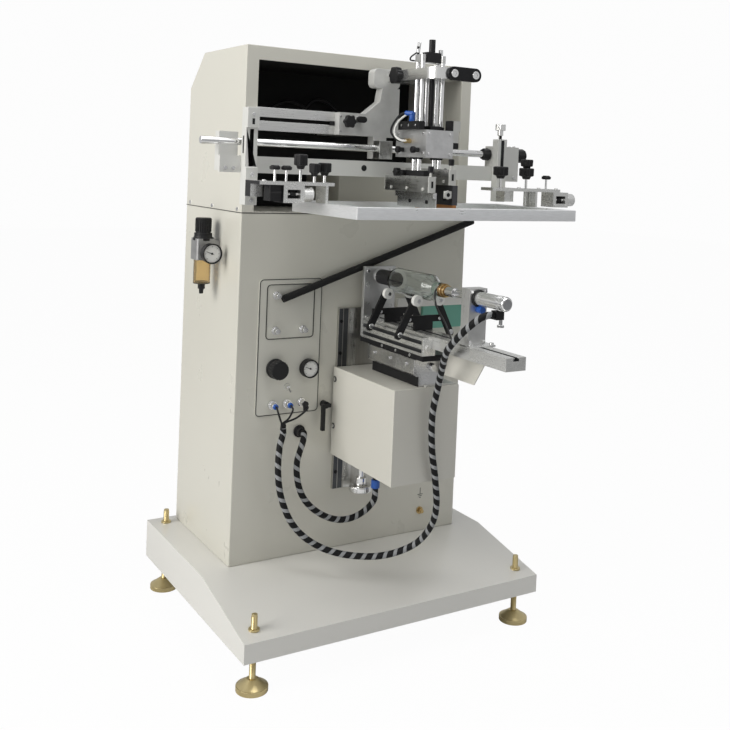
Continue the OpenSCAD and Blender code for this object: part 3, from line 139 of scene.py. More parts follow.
floor_mesh = bpy.data.meshes.new("floor")
bm = bmesh.new()
bmesh.ops.create_grid(bm, x_segments=1, y_segments=1, size=12)
bm.to_mesh(floor_mesh)
bm.free()
floor = bpy.data.objects.new("floor", floor_mesh)
bpy.context.scene.collection.objects.link(floor)
floor_look = bpy.data.materials.new("pale_floor")
floor_look.use_nodes = True
fn = floor_look.node_tree
fn.nodes.clear()
f_out = fn.nodes.new("ShaderNodeOutputMaterial")
f_lit = fn.nodes.new("ShaderNodeBsdfDiffuse")
f_lit.inputs["Color"].default_value = (0.86, 0.86, 0.86, 1)
f_white = fn.nodes.new("ShaderNodeEmission")
f_white.inputs["Color"].default_value = (1, 1, 1, 1)
f_mix = fn.nodes.new("ShaderNodeMixShader")
f_path = fn.nodes.new("ShaderNodeLightPath")
f_share = fn.nodes.new("ShaderNodeMath")
f_share.operation = "MULTIPLY"
f_share.inputs[1].default_value = FLOOR_SHARE
fn.links.new(f_path.outputs["Is Camera Ray"], f_share.inputs[0])
fn.links.new(f_share.outputs[0], f_mix.inputs[0])
fn.links.new(f_lit.outputs[0], f_mix.inputs[1])
fn.links.new(f_white.outputs[0], f_mix.inputs[2])
fn.links.new(f_mix.outputs[0], f_out.inputs[0])
floor_mesh.materials.append(floor_look)

# Hoses: black braided sleeves with a grey spiral tracer. Each is swept along its route
# and carries its own UV map: U round the hose, V in metres along it.
HOSE_R = 0.007


def smooth_route(points, steps):
    p = [at(*q) for q in points]
    route = []
    for i in range(len(p) - 1):
        a, b, c, d = p[max(i - 1, 0)], p[i], p[i + 1], p[min(i + 2, len(p) - 1)]
        for k in range(steps):
            t = k / steps
            route.append(0.5 * (2 * b + (c - a) * t + (2 * a - 5 * b + 4 * c - d) * t * t
                                + (3 * b - a - 3 * c + d) * t ** 3))
    route.append(p[-1])
    return route


def hose_mesh(name, route, radius, sides):
    bm = bmesh.new()
    uv = bm.loops.layers.uv.new("UVMap")
    side = None
    far = 0.0
    rings, fars = [], []
    for i, p in enumerate(route):
        along = (route[min(i + 1, len(route) - 1)] - route[max(i - 1, 0)]).normalized()
        if side is None:
            side = along.orthogonal().normalized()
        else:
            far += (p - route[i - 1]).length
            side = (side - along * side.dot(along)).normalized()
        other = along.cross(side)
        turn = Matrix((side, other, along)).transposed().to_4x4()
        turn.translation = p
        rings.append(bmesh.ops.create_circle(bm, cap_ends=i in (0, len(route) - 1), segments=sides,
                                             radius=radius, matrix=turn)["verts"])
        fars.append(far)
    for i in range(len(rings) - 1):
        for k in range(sides):
            k2 = (k + 1) % sides
            face = bm.faces.new((rings[i][k], rings[i][k2], rings[i + 1][k2], rings[i + 1][k]))
            spots = ((k, fars[i]), (k + 1, fars[i]), (k + 1, fars[i + 1]), (k, fars[i + 1]))
            for loop, (u, v) in zip(face.loops, spots):
                loop[uv].uv = (u / sides, v)
            face.smooth = True
    bmesh.ops.recalc_face_normals(bm, faces=bm.faces)
    mesh = bpy.data.meshes.new(name)
    bm.to_mesh(mesh)
    bm.free()
    piece = bpy.data.objects.new(name, mesh)
    bpy.context.scene.collection.objects.link(piece)
    return piece, fars[-1]


def look(name, color, rough, metallic=0.0):
    made = bpy.data.materials.new(name)
    made.use_nodes = True
    shader = made.node_tree.nodes["Principled BSDF"]
    shader.inputs["Base Color"].default_value = (*color, 1)
    shader.inputs["Roughness"].default_value = rough
    shader.inputs["Metallic"].default_value = metallic
    return made, made.node_tree, shader


def calc(tree, kind, a, b=None, c=None):
    node = tree.nodes.new("ShaderNodeMath")
    node.operation = kind
    for socket, value in zip(node.inputs, (a, b, c)):
        if value is None:
            continue
        if isinstance(value, (int, float)):
            socket.default_value = value
        else:
            tree.links.new(value, socket)
    return node.outputs[0]


def blend_colors(tree, share, a, b):
    node = tree.nodes.new("ShaderNodeMix")
    node.data_type = "RGBA"
    tree.links.new(share, node.inputs["Factor"])
    for socket, value in ((node.inputs[6], a), (node.inputs[7], b)):
        if isinstance(value, tuple):
            socket.default_value = (*value, 1)
        else:
            tree.links.new(value, socket)
    return node.outputs[2]


def bumped(tree, shader, height, strength, depth):
    bump = tree.nodes.new("ShaderNodeBump")
    bump.inputs["Strength"].default_value = strength
    bump.inputs["Distance"].default_value = depth
    tree.links.new(height, bump.inputs["Height"])
    tree.links.new(bump.outputs[0], shader.inputs["Normal"])


PLAITS_PER_METRE, PLAITS_ROUND = 420.0, 16.0


def sleeve(name, dark, tracer, turns_per_metre, tracer_share):
    made, tree, shader = look(name, dark, 0.55)
    uv = tree.nodes.new("ShaderNodeUVMap")
    uv.uv_map = "UVMap"
    split = tree.nodes.new("ShaderNodeSeparateXYZ")
    tree.links.new(uv.outputs[0], split.inputs[0])
    u, v = split.outputs[0], split.outputs[1]
    wind = calc(tree, "ADD", calc(tree, "MULTIPLY", v, turns_per_metre), u)
    stripe = calc(tree, "LESS_THAN", calc(tree, "FRACT", wind), tracer_share)
    down = calc(tree, "MULTIPLY", v, PLAITS_PER_METRE)
    across = calc(tree, "MULTIPLY", u, PLAITS_ROUND)
    waves = [calc(tree, "SINE", calc(tree, "MULTIPLY", calc(tree, kind, down, across), math.tau))
             for kind in ("ADD", "SUBTRACT")]
    weave = calc(tree, "MULTIPLY_ADD", calc(tree, "MULTIPLY", *waves), 0.5, 0.5)
    plain = blend_colors(tree, weave, tuple(c * 0.55 for c in dark), dark)
    light = blend_colors(tree, weave, tuple(c * 0.75 for c in tracer), tracer)
    tree.links.new(blend_colors(tree, stripe, plain, light), shader.inputs["Base Color"])
    bumped(tree, shader, weave, 0.35, 0.0006)
    shader.inputs["Specular IOR Level"].default_value = 0.2
    return made


sleeve_look = sleeve("spiral_sleeve", (0.008, 0.008, 0.009), (0.36, 0.37, 0.38), 42.0, 0.36)
MAIN_ROUTE = [
    (-200, -40, 465), (-200, -40, 458), (-200, -40, 451), (-212, -50, 425), (-220, -64, 375),
    (-213, -72, 320), (-190, -84, 265), (-150, -100, 225), (-100, -124, 202), (-40, -155, 195),
    (5, -185, 205), (42, -220, 234), (58, -250, 280), (55, -270, 330), (40, -282, 395),
    (26, -286, 460), (22, -288, 530), (24, -300, 590), (8, -335, 640), (-10, -375, 685),
    (-12, -420, 725), (0, -455, 758), (12, -467, 768), (20, -468, 769), (25, -468, 769),
    (30, -468, 769)]
SMALL_ROUTE = [
    (-141, -16.3, 443), (-141, -21, 443), (-141, -26, 443), (-150, -40, 430), (-167, -48, 388),
    (-168, -58, 346), (-154, -62, 310), (-128, -66, 282), (-96, -70, 262), (-64, -74, 253),
    (-32, -78, 256), (-6, -82, 269), (11, -85, 286), (15, -86, 299), (15, -86, 308),
    (15, -86, 317.7)]


def braided_hose(name, node, points):
    route = smooth_route(points, 8)
    piece, length = hose_mesh(name, route, HOSE_R, 20)
    piece.data.materials.append(sleeve_look)
    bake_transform(piece)
    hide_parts(node)


braided_hose("main_hose_sleeve", "main_hose", MAIN_ROUTE)
braided_hose("small_hose_sleeve", "small_hose", SMALL_ROUTE)

# Plinth: folded sheet steel, sprayed in warm white gloss. Its edges are rounded by the
# fold and the paint has a faint orange peel, soft tone changes and light scuffs.
SHARP, CORNER = math.radians(50), math.radians(35)
BLACK = 0.03


def node_group(name, inputs, outputs):
    tree = bpy.data.node_groups.new(name, "ShaderNodeTree")
    for label, kind, value in inputs:
        socket = tree.interface.new_socket(name=label, in_out="INPUT", socket_type=kind)
        socket.default_value = value
    for label, kind in outputs:
        tree.interface.new_socket(name=label, in_out="OUTPUT", socket_type=kind)
    return tree, tree.nodes.new("NodeGroupInput"), tree.nodes.new("NodeGroupOutput")


COLOR, FLOAT, VECTOR = "NodeSocketColor", "NodeSocketFloat", "NodeSocketVector"
WHITE = (1, 1, 1, 1)


def noise_on(tree, scale, detail=2.0, stretch=None):
    coords = tree.nodes.new("ShaderNodeTexCoord")
    texture = tree.nodes.new("ShaderNodeTexNoise")
    texture.inputs["Detail"].default_value = detail
    if isinstance(scale, (int, float)):
        texture.inputs["Scale"].default_value = scale
    else:
        tree.links.new(scale, texture.inputs["Scale"])
    if stretch is None:
        tree.links.new(coords.outputs["Object"], texture.inputs["Vector"])
    else:
        times = tree.nodes.new("ShaderNodeVectorMath")
        times.operation = "MULTIPLY"
        tree.links.new(coords.outputs["Object"], times.inputs[0])
        tree.links.new(stretch, times.inputs[1])
        tree.links.new(times.outputs[0], texture.inputs["Vector"])
    return texture.outputs[0]


def scaled_color(tree, color, factor):
    node = tree.nodes.new("ShaderNodeVectorMath")
    node.operation = "SCALE"
    tree.links.new(color, node.inputs[0])
    tree.links.new(factor, node.inputs["Scale"])
    return node.outputs[0]


FINISH_IN = [("Color", COLOR, WHITE), ("Rough", FLOAT, 0.4), ("Amount", FLOAT, 1.0)]
FINISH_OUT = [("Color", COLOR), ("Roughness", FLOAT), ("Height", FLOAT)]


def swing(tree, value, middle, reach, amount=1.0):
    return calc(tree, "MULTIPLY", calc(tree, "SUBTRACT", value, middle),
                calc(tree, "MULTIPLY", amount, reach))


def outputs_set(tree, g_in, g_out, tone, dull, height):
    color = scaled_color(tree, g_in.outputs["Color"], calc(tree, "ADD", tone, 1.0))
    rough = calc(tree, "ADD", g_in.outputs["Rough"], dull)
    for label, socket in (("Color", color), ("Roughness", rough), ("Height", height)):
        tree.links.new(socket, g_out.inputs[label])


# sprayed_coat: broad tone changes, orange peel and smudges that dull the gloss
coat, g_in, g_out = node_group("sprayed_coat", FINISH_IN, FINISH_OUT)
amount = g_in.outputs["Amount"]
outputs_set(coat, g_in, g_out, swing(coat, noise_on(coat, 3.5, 3.0), 0.5, 0.05, amount),
            swing(coat, noise_on(coat, 14.0, 4.0), 0.45, 0.05, amount), noise_on(coat, 520.0, 1.0))

# brushed_grain: fine parallel lines, drawn out along the axis with the small number
grain, g_in, g_out = node_group("brushed_grain", FINISH_IN + [("Stretch", VECTOR, (30, 900, 900))],
                                FINISH_OUT)
lines = noise_on(grain, 1.0, 5.0, g_in.outputs["Stretch"])
blotch = swing(grain, noise_on(grain, 26.0, 3.0), 0.5, 0.22)
outputs_set(grain, g_in, g_out, swing(grain, lines, 0.5, 0.34, g_in.outputs["Amount"]),
            calc(grain, "ADD", blotch, swing(grain, lines, 0.5, 0.20)), lines)

# pebbled_skin: the fine grain of castings, moulded plastic and blackened steel
skin, g_in, g_out = node_group("pebbled_skin", FINISH_IN + [("Size", FLOAT, 700.0)], FINISH_OUT)
mottle = swing(skin, noise_on(skin, 45.0, 3.0), 0.5, 0.5, g_in.outputs["Amount"])
outputs_set(skin, g_in, g_out, mottle, calc(skin, "MULTIPLY", mottle, 0.4),
            noise_on(skin, g_in.outputs["Size"], 2.0))


def finished(name, tree_used, color, rough, metallic=0.0, amount=1.0, depth=0.00006, strength=0.5,
             **more):
    made, tree, shader = look(name, color, rough, metallic)
    use = tree.nodes.new("ShaderNodeGroup")
    use.node_tree = tree_used
    use.inputs["Color"].default_value = (*color, 1)
    use.inputs["Rough"].default_value = rough
    use.inputs["Amount"].default_value = amount
    for label, value in more.items():
        use.inputs[label].default_value = value
    tree.links.new(use.outputs["Color"], shader.inputs["Base Color"])
    tree.links.new(use.outputs["Roughness"], shader.inputs["Roughness"])
    bumped(tree, shader, use.outputs["Height"], strength, depth)
    shader.inputs["Specular IOR Level"].default_value = 0.25 if max(color) < BLACK else 0.5
    return made


def paint(name, color, rough=0.28):
    made = finished(name, coat, color, rough, depth=0.00005, strength=0.35)
    shader = made.node_tree.nodes["Principled BSDF"]
    shader.inputs["Coat Weight"].default_value = 0.2
    shader.inputs["Coat Roughness"].default_value = 0.2
    return made


def copied(node, edge=0.7):
    bm = bmesh.new()
    bm.from_mesh(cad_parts[node].data)
    bmesh.ops.remove_doubles(bm, verts=bm.verts, dist=2e-6)
    bmesh.ops.dissolve_limit(bm, angle_limit=math.radians(0.5), verts=bm.verts, edges=bm.edges)
    corners = [e for e in bm.edges if len(e.link_faces) == 2 and e.calc_face_angle(0) > CORNER]
    if edge:
        bmesh.ops.bevel(bm, geom=corners, offset=edge / 1000, offset_type="OFFSET", segments=2,
                        profile=0.5, affect="EDGES", clamp_overlap=True, material=-1)
    return bm


def put(name, bm, looks, slot, body="machine", stands_for=False, pick=None):
    looks = looks if isinstance(looks, list) else [looks]
    for e in bm.edges:
        e.smooth = not (len(e.link_faces) == 2 and e.calc_face_angle(0) > SHARP)
    for f in bm.faces:
        f.smooth = True
        f.material_index = pick(f.calc_center_median(), f.normal) if pick else f.material_index
    mesh = bpy.data.meshes.new(name)
    bm.to_mesh(mesh)
    bm.free()
    for one in looks:
        mesh.materials.append(one)
    piece = bpy.data.objects.new(name, mesh)
    bpy.context.scene.collection.objects.link(piece)
    flats = piece.modifiers.new("flats", "WEIGHTED_NORMAL")
    flats.keep_sharp = True
    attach(piece, body)
    if stands_for:
        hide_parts(slot)


def one_look(bm):
    for f in bm.faces:
        f.material_index = 0
    return bm


def dressed(node, looks, body="machine", edge=0.7, pick=None):
    put(f"{node}_finish", one_look(copied(node, edge)), looks, node, body, stands_for=True,
        pick=pick)


warm_white = paint("warm_white_paint", (0.71, 0.695, 0.62))
plinth_white = paint("plinth_paint", (0.80, 0.79, 0.75), 0.24)
dressed("base_plinth", plinth_white, edge=3)

# Levelling feet: zinc-plated in yellow chromate, with a turned pad, a swivel cone, a
# threaded stud and a hexagon nut under the plinth and one above it.
zinc = finished("yellow_zinc", skin, (0.60, 0.50, 0.27), 0.34, 0.95, 0.7, Size=380.0)
dressed("levelling_feet", zinc, edge=0.8)


def turned_to(axis):
    return Vector(axis).to_track_quat("Z", "Y").to_matrix().to_4x4()


def cone_on(bm, centre, axis, r1, r2, length, sides=24, caps=True):
    middle = centre + Vector(axis).normalized() * length / 2000
    matrix = Matrix.Translation(middle) @ turned_to(axis)
    return bmesh.ops.create_cone(bm, cap_ends=caps, segments=sides, radius1=r1 / 1000,
                                 radius2=r2 / 1000, depth=length / 1000, matrix=matrix)["verts"]


def soften(bm, verts, width, segments=2):
    edges = dict.fromkeys(e for v in verts for e in v.link_edges if e.calc_face_angle(0) > CORNER)
    bmesh.ops.bevel(bm, geom=list(edges), offset=width / 1000, offset_type="OFFSET",
                    segments=segments, profile=0.5, affect="EDGES", clamp_overlap=True, material=-1)


def turned(bm, centre, axis, r1, r2, length, sides, width):
    soften(bm, cone_on(bm, centre, axis, r1, r2, length, sides), width)


def thread(bm, centre, axis, radius, length, pitch):
    turns = int(length / pitch + 1e-9)
    half, crest = pitch / 2, radius * 1.1
    for i in range(turns):
        caps = i in (0, turns - 1)
        base = centre + Vector(axis) * i * pitch / 1000
        cone_on(bm, base, axis, radius, crest, half, 20, caps)
        cone_on(bm, base + Vector(axis) * half / 1000, axis, crest, radius, half, 20, caps)


foot_lo, foot_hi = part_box("levelling_feet")
FOOT_PAD = 0.0325
bm = bmesh.new()
for x in (foot_lo.x + FOOT_PAD, foot_hi.x - FOOT_PAD):
    for y, top in ((foot_lo.y + FOOT_PAD, 0.1195), (foot_hi.y - FOOT_PAD, 0.160)):
        for start, tall in ((0.0245, 38), (top + 0.001, 28)):
            thread(bm, Vector((x, y, start)), UP, 6.1, tall, 1.8)
        turned(bm, Vector((x, y, top)), UP, 11.5, 11.5, 4, 32, 0.6)
put("foot_threads", bm, zinc, "levelling_feet")

# Cabinet and hood: welded sheet steel in the same paint. The hood sits on the cabinet
# with a fine dark joint line and small screws above it on both sides.
dressed("cabinet_body", warm_white, edge=2.5)
matt_black = finished("matt_black", skin, (0.010, 0.010, 0.010), 0.75, 0.0, 0.6)
dressed("hood_shell", [warm_white, matt_black], edge=1.2,
        pick=lambda c, n: 1 if n.z < -0.9 and mm(c).z > 1200 else 0)
joint_black = finished("joint_shadow", skin, (0.05, 0.05, 0.045), 0.6)
steel = finished("bright_steel", grain, (0.66, 0.66, 0.66), 0.26, 1.0, 0.6, Stretch=(400, 400, 400))
black_steel = finished("blackened_steel", skin, (0.022, 0.022, 0.024), 0.36, 0.55, 1.0, Size=620.0)


def strip(bm, lo, hi):
    matrix = Matrix.Translation((lo + hi) / 2) @ Matrix.Diagonal((*(hi - lo), 1))
    return bmesh.ops.create_cube(bm, size=1, matrix=matrix)["verts"]


def cap_screw(bm, centre, axis, r, height, sides=20):
    turned(bm, centre, axis, r, r, height, sides, r * 0.12)
    top = centre + Vector(axis).normalized() * (height - 0.1) / 1000
    cone_on(bm, top, axis, r * 0.5, r * 0.5, 0.3, 6)


CABINET_TOP = 934
bm = bmesh.new()
strip(bm, at(-300.4, -0.4, CABINET_TOP - 0.8), at(300.4, 0.2, CABINET_TOP + 0.8))
strip(bm, at(-300.4, -0.4, CABINET_TOP - 0.8), at(-299.8, 333.4, CABINET_TOP + 0.8))
strip(bm, at(299.8, -0.4, CABINET_TOP - 0.8), at(300.4, 333.4, CABINET_TOP + 0.8))
put("hood_joint_line", bm, joint_black, "hood_lining")

bm = bmesh.new()
for y in (24, 169, 310):
    for side in (-1, 1):
        cone_on(bm, at(side * 299.6, y, 941), (side, 0, 0), 5, 4, 1.8, 20)
        cone_on(bm, at(side * 301.3, y, 941), (side, 0, 0), 2, 2, 0.2, 6)
put("cabinet_screws", bm, steel, "needle_valves")

# Hood interior: a matt black back wall behind the arm, and the drive housing in the cabinet's
# paint, darkened as painted shade inside the hood.
shaded_paint = paint("inner_painted_shade", (0.50, 0.49, 0.43), 0.4)
dressed("hood_lining", matt_black, edge=0)
dressed("drive_housing", shaded_paint, edge=1.5)

# Control panel: a thin plate painted like the cabinet, with two dark printed outlines,
# three chromed needle valves, a pressure knob, a dial gauge and three air sockets.
chrome = finished("polished_chrome", grain, (0.80, 0.80, 0.80), 0.12, 1.0, 0.12, 0.000004, 0.2,
                  Stretch=(900, 900, 900))
black_plastic = finished("moulded_black", skin, (0.016, 0.016, 0.017), 0.38, 0.0, 0.8, Size=900.0)
ink = finished("printed_line", skin, (0.035, 0.036, 0.030), 0.5, 0.0, 0.4)
panel_paint = paint("panel_paint", (0.70, 0.69, 0.62), 0.34)
dressed("control_panel", panel_paint, edge=0.3)
dressed("needle_valves", chrome, edge=0.6)
dressed("pressure_knob", black_plastic, edge=1.2)
dressed("air_sockets", chrome, edge=0.6)
dressed("hose_grommet", black_plastic, edge=1.5)


def frame_line(bm, lo_x, hi_x, lo_z, hi_z, y, radius, width, rise):
    loops = []
    for inset, depth in ((0, 0), (0, rise), (width, rise), (width, 0)):
        loop = []
        for corner, (cx, cz) in enumerate(((hi_x, hi_z), (lo_x, hi_z), (lo_x, lo_z), (hi_x, lo_z))):
            sx, sz = (1 if cx == hi_x else -1), (1 if cz == hi_z else -1)
            for k in range(7):
                a = math.radians(90 * corner + 15 * k)
                x = cx - sx * radius + (radius - inset) * math.cos(a)
                z = cz - sz * radius + (radius - inset) * math.sin(a)
                loop.append(bm.verts.new(at(x, y - depth, z)))
        loops.append(loop)
    for i, loop in enumerate(loops):
        after = loops[(i + 1) % 4]
        for k in range(len(loop)):
            j = (k + 1) % len(loop)
            bm.faces.new((loop[k], loop[j], after[j], after[k]))


bm = bmesh.new()
frame_line(bm, -250.5, -96.5, 485.5, 788.5, -1.9, 9, 1.9, 0.5)
frame_line(bm, -233.2, -114.8, 654.8, 777.2, -2.2, 9, 1.9, 1.2)
bmesh.ops.recalc_face_normals(bm, faces=bm.faces)
put("panel_outlines", bm, ink, "control_panel")


def ribs(bm, count, place, back, ahead, width=0):
    for k in range(count):
        a = k * math.tau / count
        spot = place(math.cos(a), math.sin(a))
        rib = strip(bm, spot - Vector(back) / 1000, spot + Vector(ahead) / 1000)
        if width:
            soften(bm, rib, width, 1)


bm = bmesh.new()
for x, z in ((-212, 753), (-212, 675), (-144, 675)):
    ribs(bm, 18, lambda c, s: at(x + 6 * c, -9.5, z + 6 * s), (0.4, 8.5, 0.4), (0.4, 0, 0.4))
    cone_on(bm, at(x, -21.8, z), FRONT, 4.2, 3.4, 0.8, 24)
put("valve_knurls", bm, steel, "needle_valves")

blue_plastic = finished("blue_fitting", skin, (0.02, 0.10, 0.42), 0.34, 0.0, 0.5, Size=700.0)
bm = bmesh.new()
for x in (-213, -177):
    turned(bm, at(x, -23.8, 510), FRONT, 6.4, 5.6, 5.5, 28, 0.6)
put("socket_collars", bm, blue_plastic, "air_sockets")
bm = bmesh.new()
turned(bm, at(-141, -23.8, 510), FRONT, 6.6, 6.6, 7.5, 28, 0.8)
turned(bm, at(-141, -27.6, 512), (0, -0.12, -1), 5.8, 5.2, 17, 28, 0.8)
put("socket_elbow", bm, black_plastic, "air_sockets")

bm = bmesh.new()
ribs(bm, 20, lambda c, s: at(-207 + 19.6 * c, -11, 590 + 19.6 * s), (1.3, 19, 1.3), (1.3, 0, 1.3),
     0.4)
cone_on(bm, at(-207, -31.8, 590), FRONT, 14, 12.5, 0.9, 36)
put("pressure_knob_ribs", bm, black_plastic, "pressure_knob")

# Dial gauges: a moulded black bezel, a white dial with black ticks and a black pointer.
# One is screwed into the panel and one into the filter regulator.
dial_white = finished("dial_white", skin, (0.82, 0.82, 0.80), 0.45, 0.0, 0.3)


def ring_on(bm, centre, axis, r_out, r_in, depth, sides=40):
    base = Matrix.Translation(centre) @ turned_to(axis) @ Matrix.Scale(0.001, 4)
    start = [bm.verts.new(base @ Vector(p)) for p in
             ((r_in, 0, 0), (r_out, 0, 0), (r_out, 0, depth * 0.8), (r_out * 0.97, 0, depth),
              (r_in, 0, depth * 0.85))]
    loop = [bm.edges.new((start[i], start[(i + 1) % 5])) for i in range(5)]
    bmesh.ops.spin(bm, geom=start + loop, cent=centre, axis=Vector(axis).normalized(),
                   angle=math.tau, steps=sides, use_merge=True)


def rings_done(bm):
    bmesh.ops.recalc_face_normals(bm, faces=bm.faces)


def gauge_face(prefix, centre, r, slot):
    def hand(degrees, near, far, lift, wide, thick):
        a = math.radians(degrees)
        out = Vector((math.sin(a), 0, math.cos(a)))
        turn = Matrix((out.cross(axis), out, axis)).transposed().to_4x4()
        middle = centre + (axis * lift + out * r * (near + far) / 2) / 1000
        size = Matrix.Diagonal((wide / 1000, r * (far - near) / 1000, thick / 1000, 1))
        bmesh.ops.create_cube(bm, size=1, matrix=Matrix.Translation(middle) @ turn @ size)

    axis = Vector(FRONT)
    bm = bmesh.new()
    ring_on(bm, centre, axis, r, r * 0.86, 4.5)
    rings_done(bm)
    put(f"{prefix}_bezel", bm, black_plastic, slot)
    bm = bmesh.new()
    cone_on(bm, centre - axis * 0.0002, axis, r * 0.87, r * 0.87, 0.9, 40)
    put(f"{prefix}_dial", bm, dial_white, slot)
    bm = bmesh.new()
    for k in range(25):
        near, wide = (0.62, 0.6) if k % 4 == 0 else (0.70, 0.3)
        hand(-135 + k * 270 / 24, near, 0.78, 0.9, wide, 0.2)
    hand(-70, -0.20, 0.64, 1.5, 0.9, 0.4)
    cone_on(bm, centre + axis * 0.001, axis, r * 0.10, r * 0.08, 1.2, 20)
    put(f"{prefix}_marks", bm, black_plastic, slot)


dressed("panel_gauge", black_plastic, edge=0.8)
gauge_face("panel_gauge", at(-126, -16, 586), 20.8, "panel_gauge")

# Toggle switch: a chromed lever in a threaded bush with a flat nut.
dressed("toggle_lever", chrome, "toggle", edge=0.5)
bm = bmesh.new()
turned(bm, at(-176, -2, 547), FRONT, 8.5, 8.5, 1.6, 6, 0.3)
put("toggle_nut", bm, steel, "toggle_lever")

# Earth terminal: a brass stud with a hexagon nut, and the printed earth sign above it.
brass = finished("brass", skin, (0.56, 0.42, 0.21), 0.30, 1.0, 0.5, Size=300.0)
dressed("earth_terminal", brass, edge=0.5)
bm = bmesh.new()
strip(bm, at(197.7, -0.3, 250), at(199.1, 0.2, 266))
for half, z in ((7.5, 250), (5, 246), (2.5, 242)):
    strip(bm, at(198.4 - half, -0.3, z - 0.7), at(198.4 + half, 0.2, z + 0.7))
put("earth_sign", bm, ink, "earth_terminal")

# Filter regulator: a cast aluminium body with a black plastic adjusting knob, a clear
# bowl with an amber cast below it and its own dial gauge.
cast = finished("sand_cast", skin, (0.40, 0.40, 0.40), 0.50, 0.85, 0.8, 0.00015, Size=420.0)


def see_through(name, color, rough, share, ior):
    made, _, shader = look(name, color, rough)
    shader.inputs["Transmission Weight"].default_value = share
    shader.inputs["IOR"].default_value = ior
    return made


def block(bm, lo, hi, width):
    soften(bm, strip(bm, lo, hi), width)


amber = see_through("amber_bowl", (0.93, 0.78, 0.52), 0.06, 0.92, 1.45)


def filter_looks(c, n):
    q = mm(c)
    if q.z > 869.5 or q.y < 85.5:
        return 1
    return 2 if q.y > 151 else 0


dressed("filter_regulator", [cast, black_plastic, blue_plastic], edge=1.2, pick=filter_looks)
dressed("filter_bowl", [amber, black_plastic], edge=0.4,
        pick=lambda c, n: 1 if mm(c).z < 766.5 else 0)
gauge_face("filter_gauge", at(-335, 71, 839), 22.8, "filter_regulator")
bm = bmesh.new()
ribs(bm, 24, lambda c, s: at(-335 + 17.1 * c, 128 + 17.1 * s, 884), (1.1, 1.1, 0), (1.1, 1.1, 29),
     0.4)
turned(bm, at(-335, 128, 864), UP, 22.5, 22.5, 6, 40, 1.2)
turned(bm, at(-335, 128, 870), UP, 21.5, 17.2, 12, 40, 0.8)
turned(bm, at(-335, 128, 766), UP, 12.5, 15, 6, 32, 0.8)
turned(bm, at(-335, 128, 744), UP, 4.5, 5.5, 12, 20, 0.6)
put("filter_trim", bm, black_plastic, "filter_regulator")
bm = bmesh.new()
block(bm, at(-316, 112, 846), at(-313, 144, 872), 0.8)
for y, z in ((119, 864), (137, 864), (119, 851), (137, 851)):
    cap_screw(bm, at(-316.2, y, z), LEFT, 3.2, 2.2, 16)
cone_on(bm, at(-335, 106.8, 839), FRONT, 8.5, 8.5, 10, 6)
put("filter_bracket_screws", bm, steel, "filter_regulator")

# Lift column: a ground steel plate bolted to the cabinet's front. Two grooves, drawn as flat
# dark strips of painted shade, and a bright wear strip run up it, where the lift table slides.
brushed = finished("brushed_aluminium", grain, (0.62, 0.62, 0.60), 0.30, 1.0, 1.0,
                   Stretch=(700, 700, 22))
column_steel = finished("ground_column", grain, (0.46, 0.45, 0.42), 0.34, 0.9, 1.0,
                        Stretch=(900, 900, 12))
dressed("guide_column", column_steel, edge=0.6)
# The dark finish below is painted shade in slots: flat strips on the column's grooves, and the
# rail's slot walls.
slot_shade_steel = finished("painted_slot_shade", grain, (0.10, 0.105, 0.11), 0.38, 0.85, 1.0,
                      Stretch=(900, 900, 9))
bm = bmesh.new()
for x0, x1 in ((-52.5, -42), (-40.5, -28.5)):
    strip(bm, at(x0, -8.15, 301), at(x1, -7.9, 717))
put("column_channel", bm, slot_shade_steel, "guide_column")
bm = bmesh.new()
strip(bm, at(-25, -8.15, 301), at(-6, -7.9, 717))
put("column_bright_strip", bm, brushed, "guide_column")
bm = bmesh.new()
for x in (-46.5, 90.5):
    for z in (615, 688, 340, 400):
        cap_screw(bm, at(x, -8, z), FRONT, 4.2, 2.2)
put("column_screws", bm, black_steel, "guide_column")

# Clamp lever: a handle moulded in black plastic over a steel stud. It locks the lift
# table's height.
dressed("clamp_lever", black_plastic, "clamp", edge=2)

# Padded bar: a steel rod in a sleeve of black foam, held off the cabinet's front on a pin
# near each end.
foam = finished("black_foam", skin, (0.020, 0.020, 0.020), 0.85, 0.0, 1.0, 0.0003, 0.8, Size=260.0)
dressed("padded_bar", foam, edge=4)

# Green plate: a steel plate in teal paint, fixed flat to the cabinet's front, with a
# white strip along its top.
green = paint("teal_paint", (0.16, 0.42, 0.33), 0.35)
dressed("green_plate", [green, plinth_white], edge=1.2,
        pick=lambda c, n: 1 if mm(c).z > 713.5 else 0)

# Gooseneck arm: one casting in white enamel. Its foot holds a star knob and a flat wing
# knob of black plastic on steel studs.
enamel = finished("white_casting", skin, (0.62, 0.62, 0.60), 0.42, 0.1, 0.5, 0.00012, Size=300.0)
dressed("gooseneck_arm", enamel, edge=3.5)


def lobed(bm, centre, axis, r, height, lobes=6, deep=0.10, taper=0.94):
    verts = bmesh.ops.create_cone(bm, cap_ends=True, segments=max(48, lobes * 6),
                                  radius1=r * taper / 1000,
                                  radius2=r / 1000, depth=height / 1000)["verts"]
    for v in verts:
        shrink = 1 - deep + deep * math.cos(lobes * math.atan2(v.co.y, v.co.x))
        v.co.x *= shrink
        v.co.y *= shrink
    middle = centre + Vector(axis).normalized() * height / 2000
    bmesh.ops.transform(bm, matrix=Matrix.Translation(middle) @ turned_to(axis), verts=verts)
    soften(bm, verts, height * 0.16, 3)


bm = bmesh.new()
lobed(bm, at(-76, -55, 1143), FRONT, 15.5, 14)
lobed(bm, at(-44, -53, 1149), FRONT, 12.5, 11, 2, 0.22)
put("arm_foot_knobs", bm, black_plastic, "gooseneck_arm")
bm = bmesh.new()
for x, z in ((-76, 1143), (-44, 1149)):
    cone_on(bm, at(x, -45.5, z), FRONT, 4.2, 4.2, 11, 20)
    turned(bm, at(x, -45.5, z), FRONT, 8.5, 8.5, 2.5, 24, 0.4)
put("arm_foot_studs", bm, steel, "gooseneck_arm")

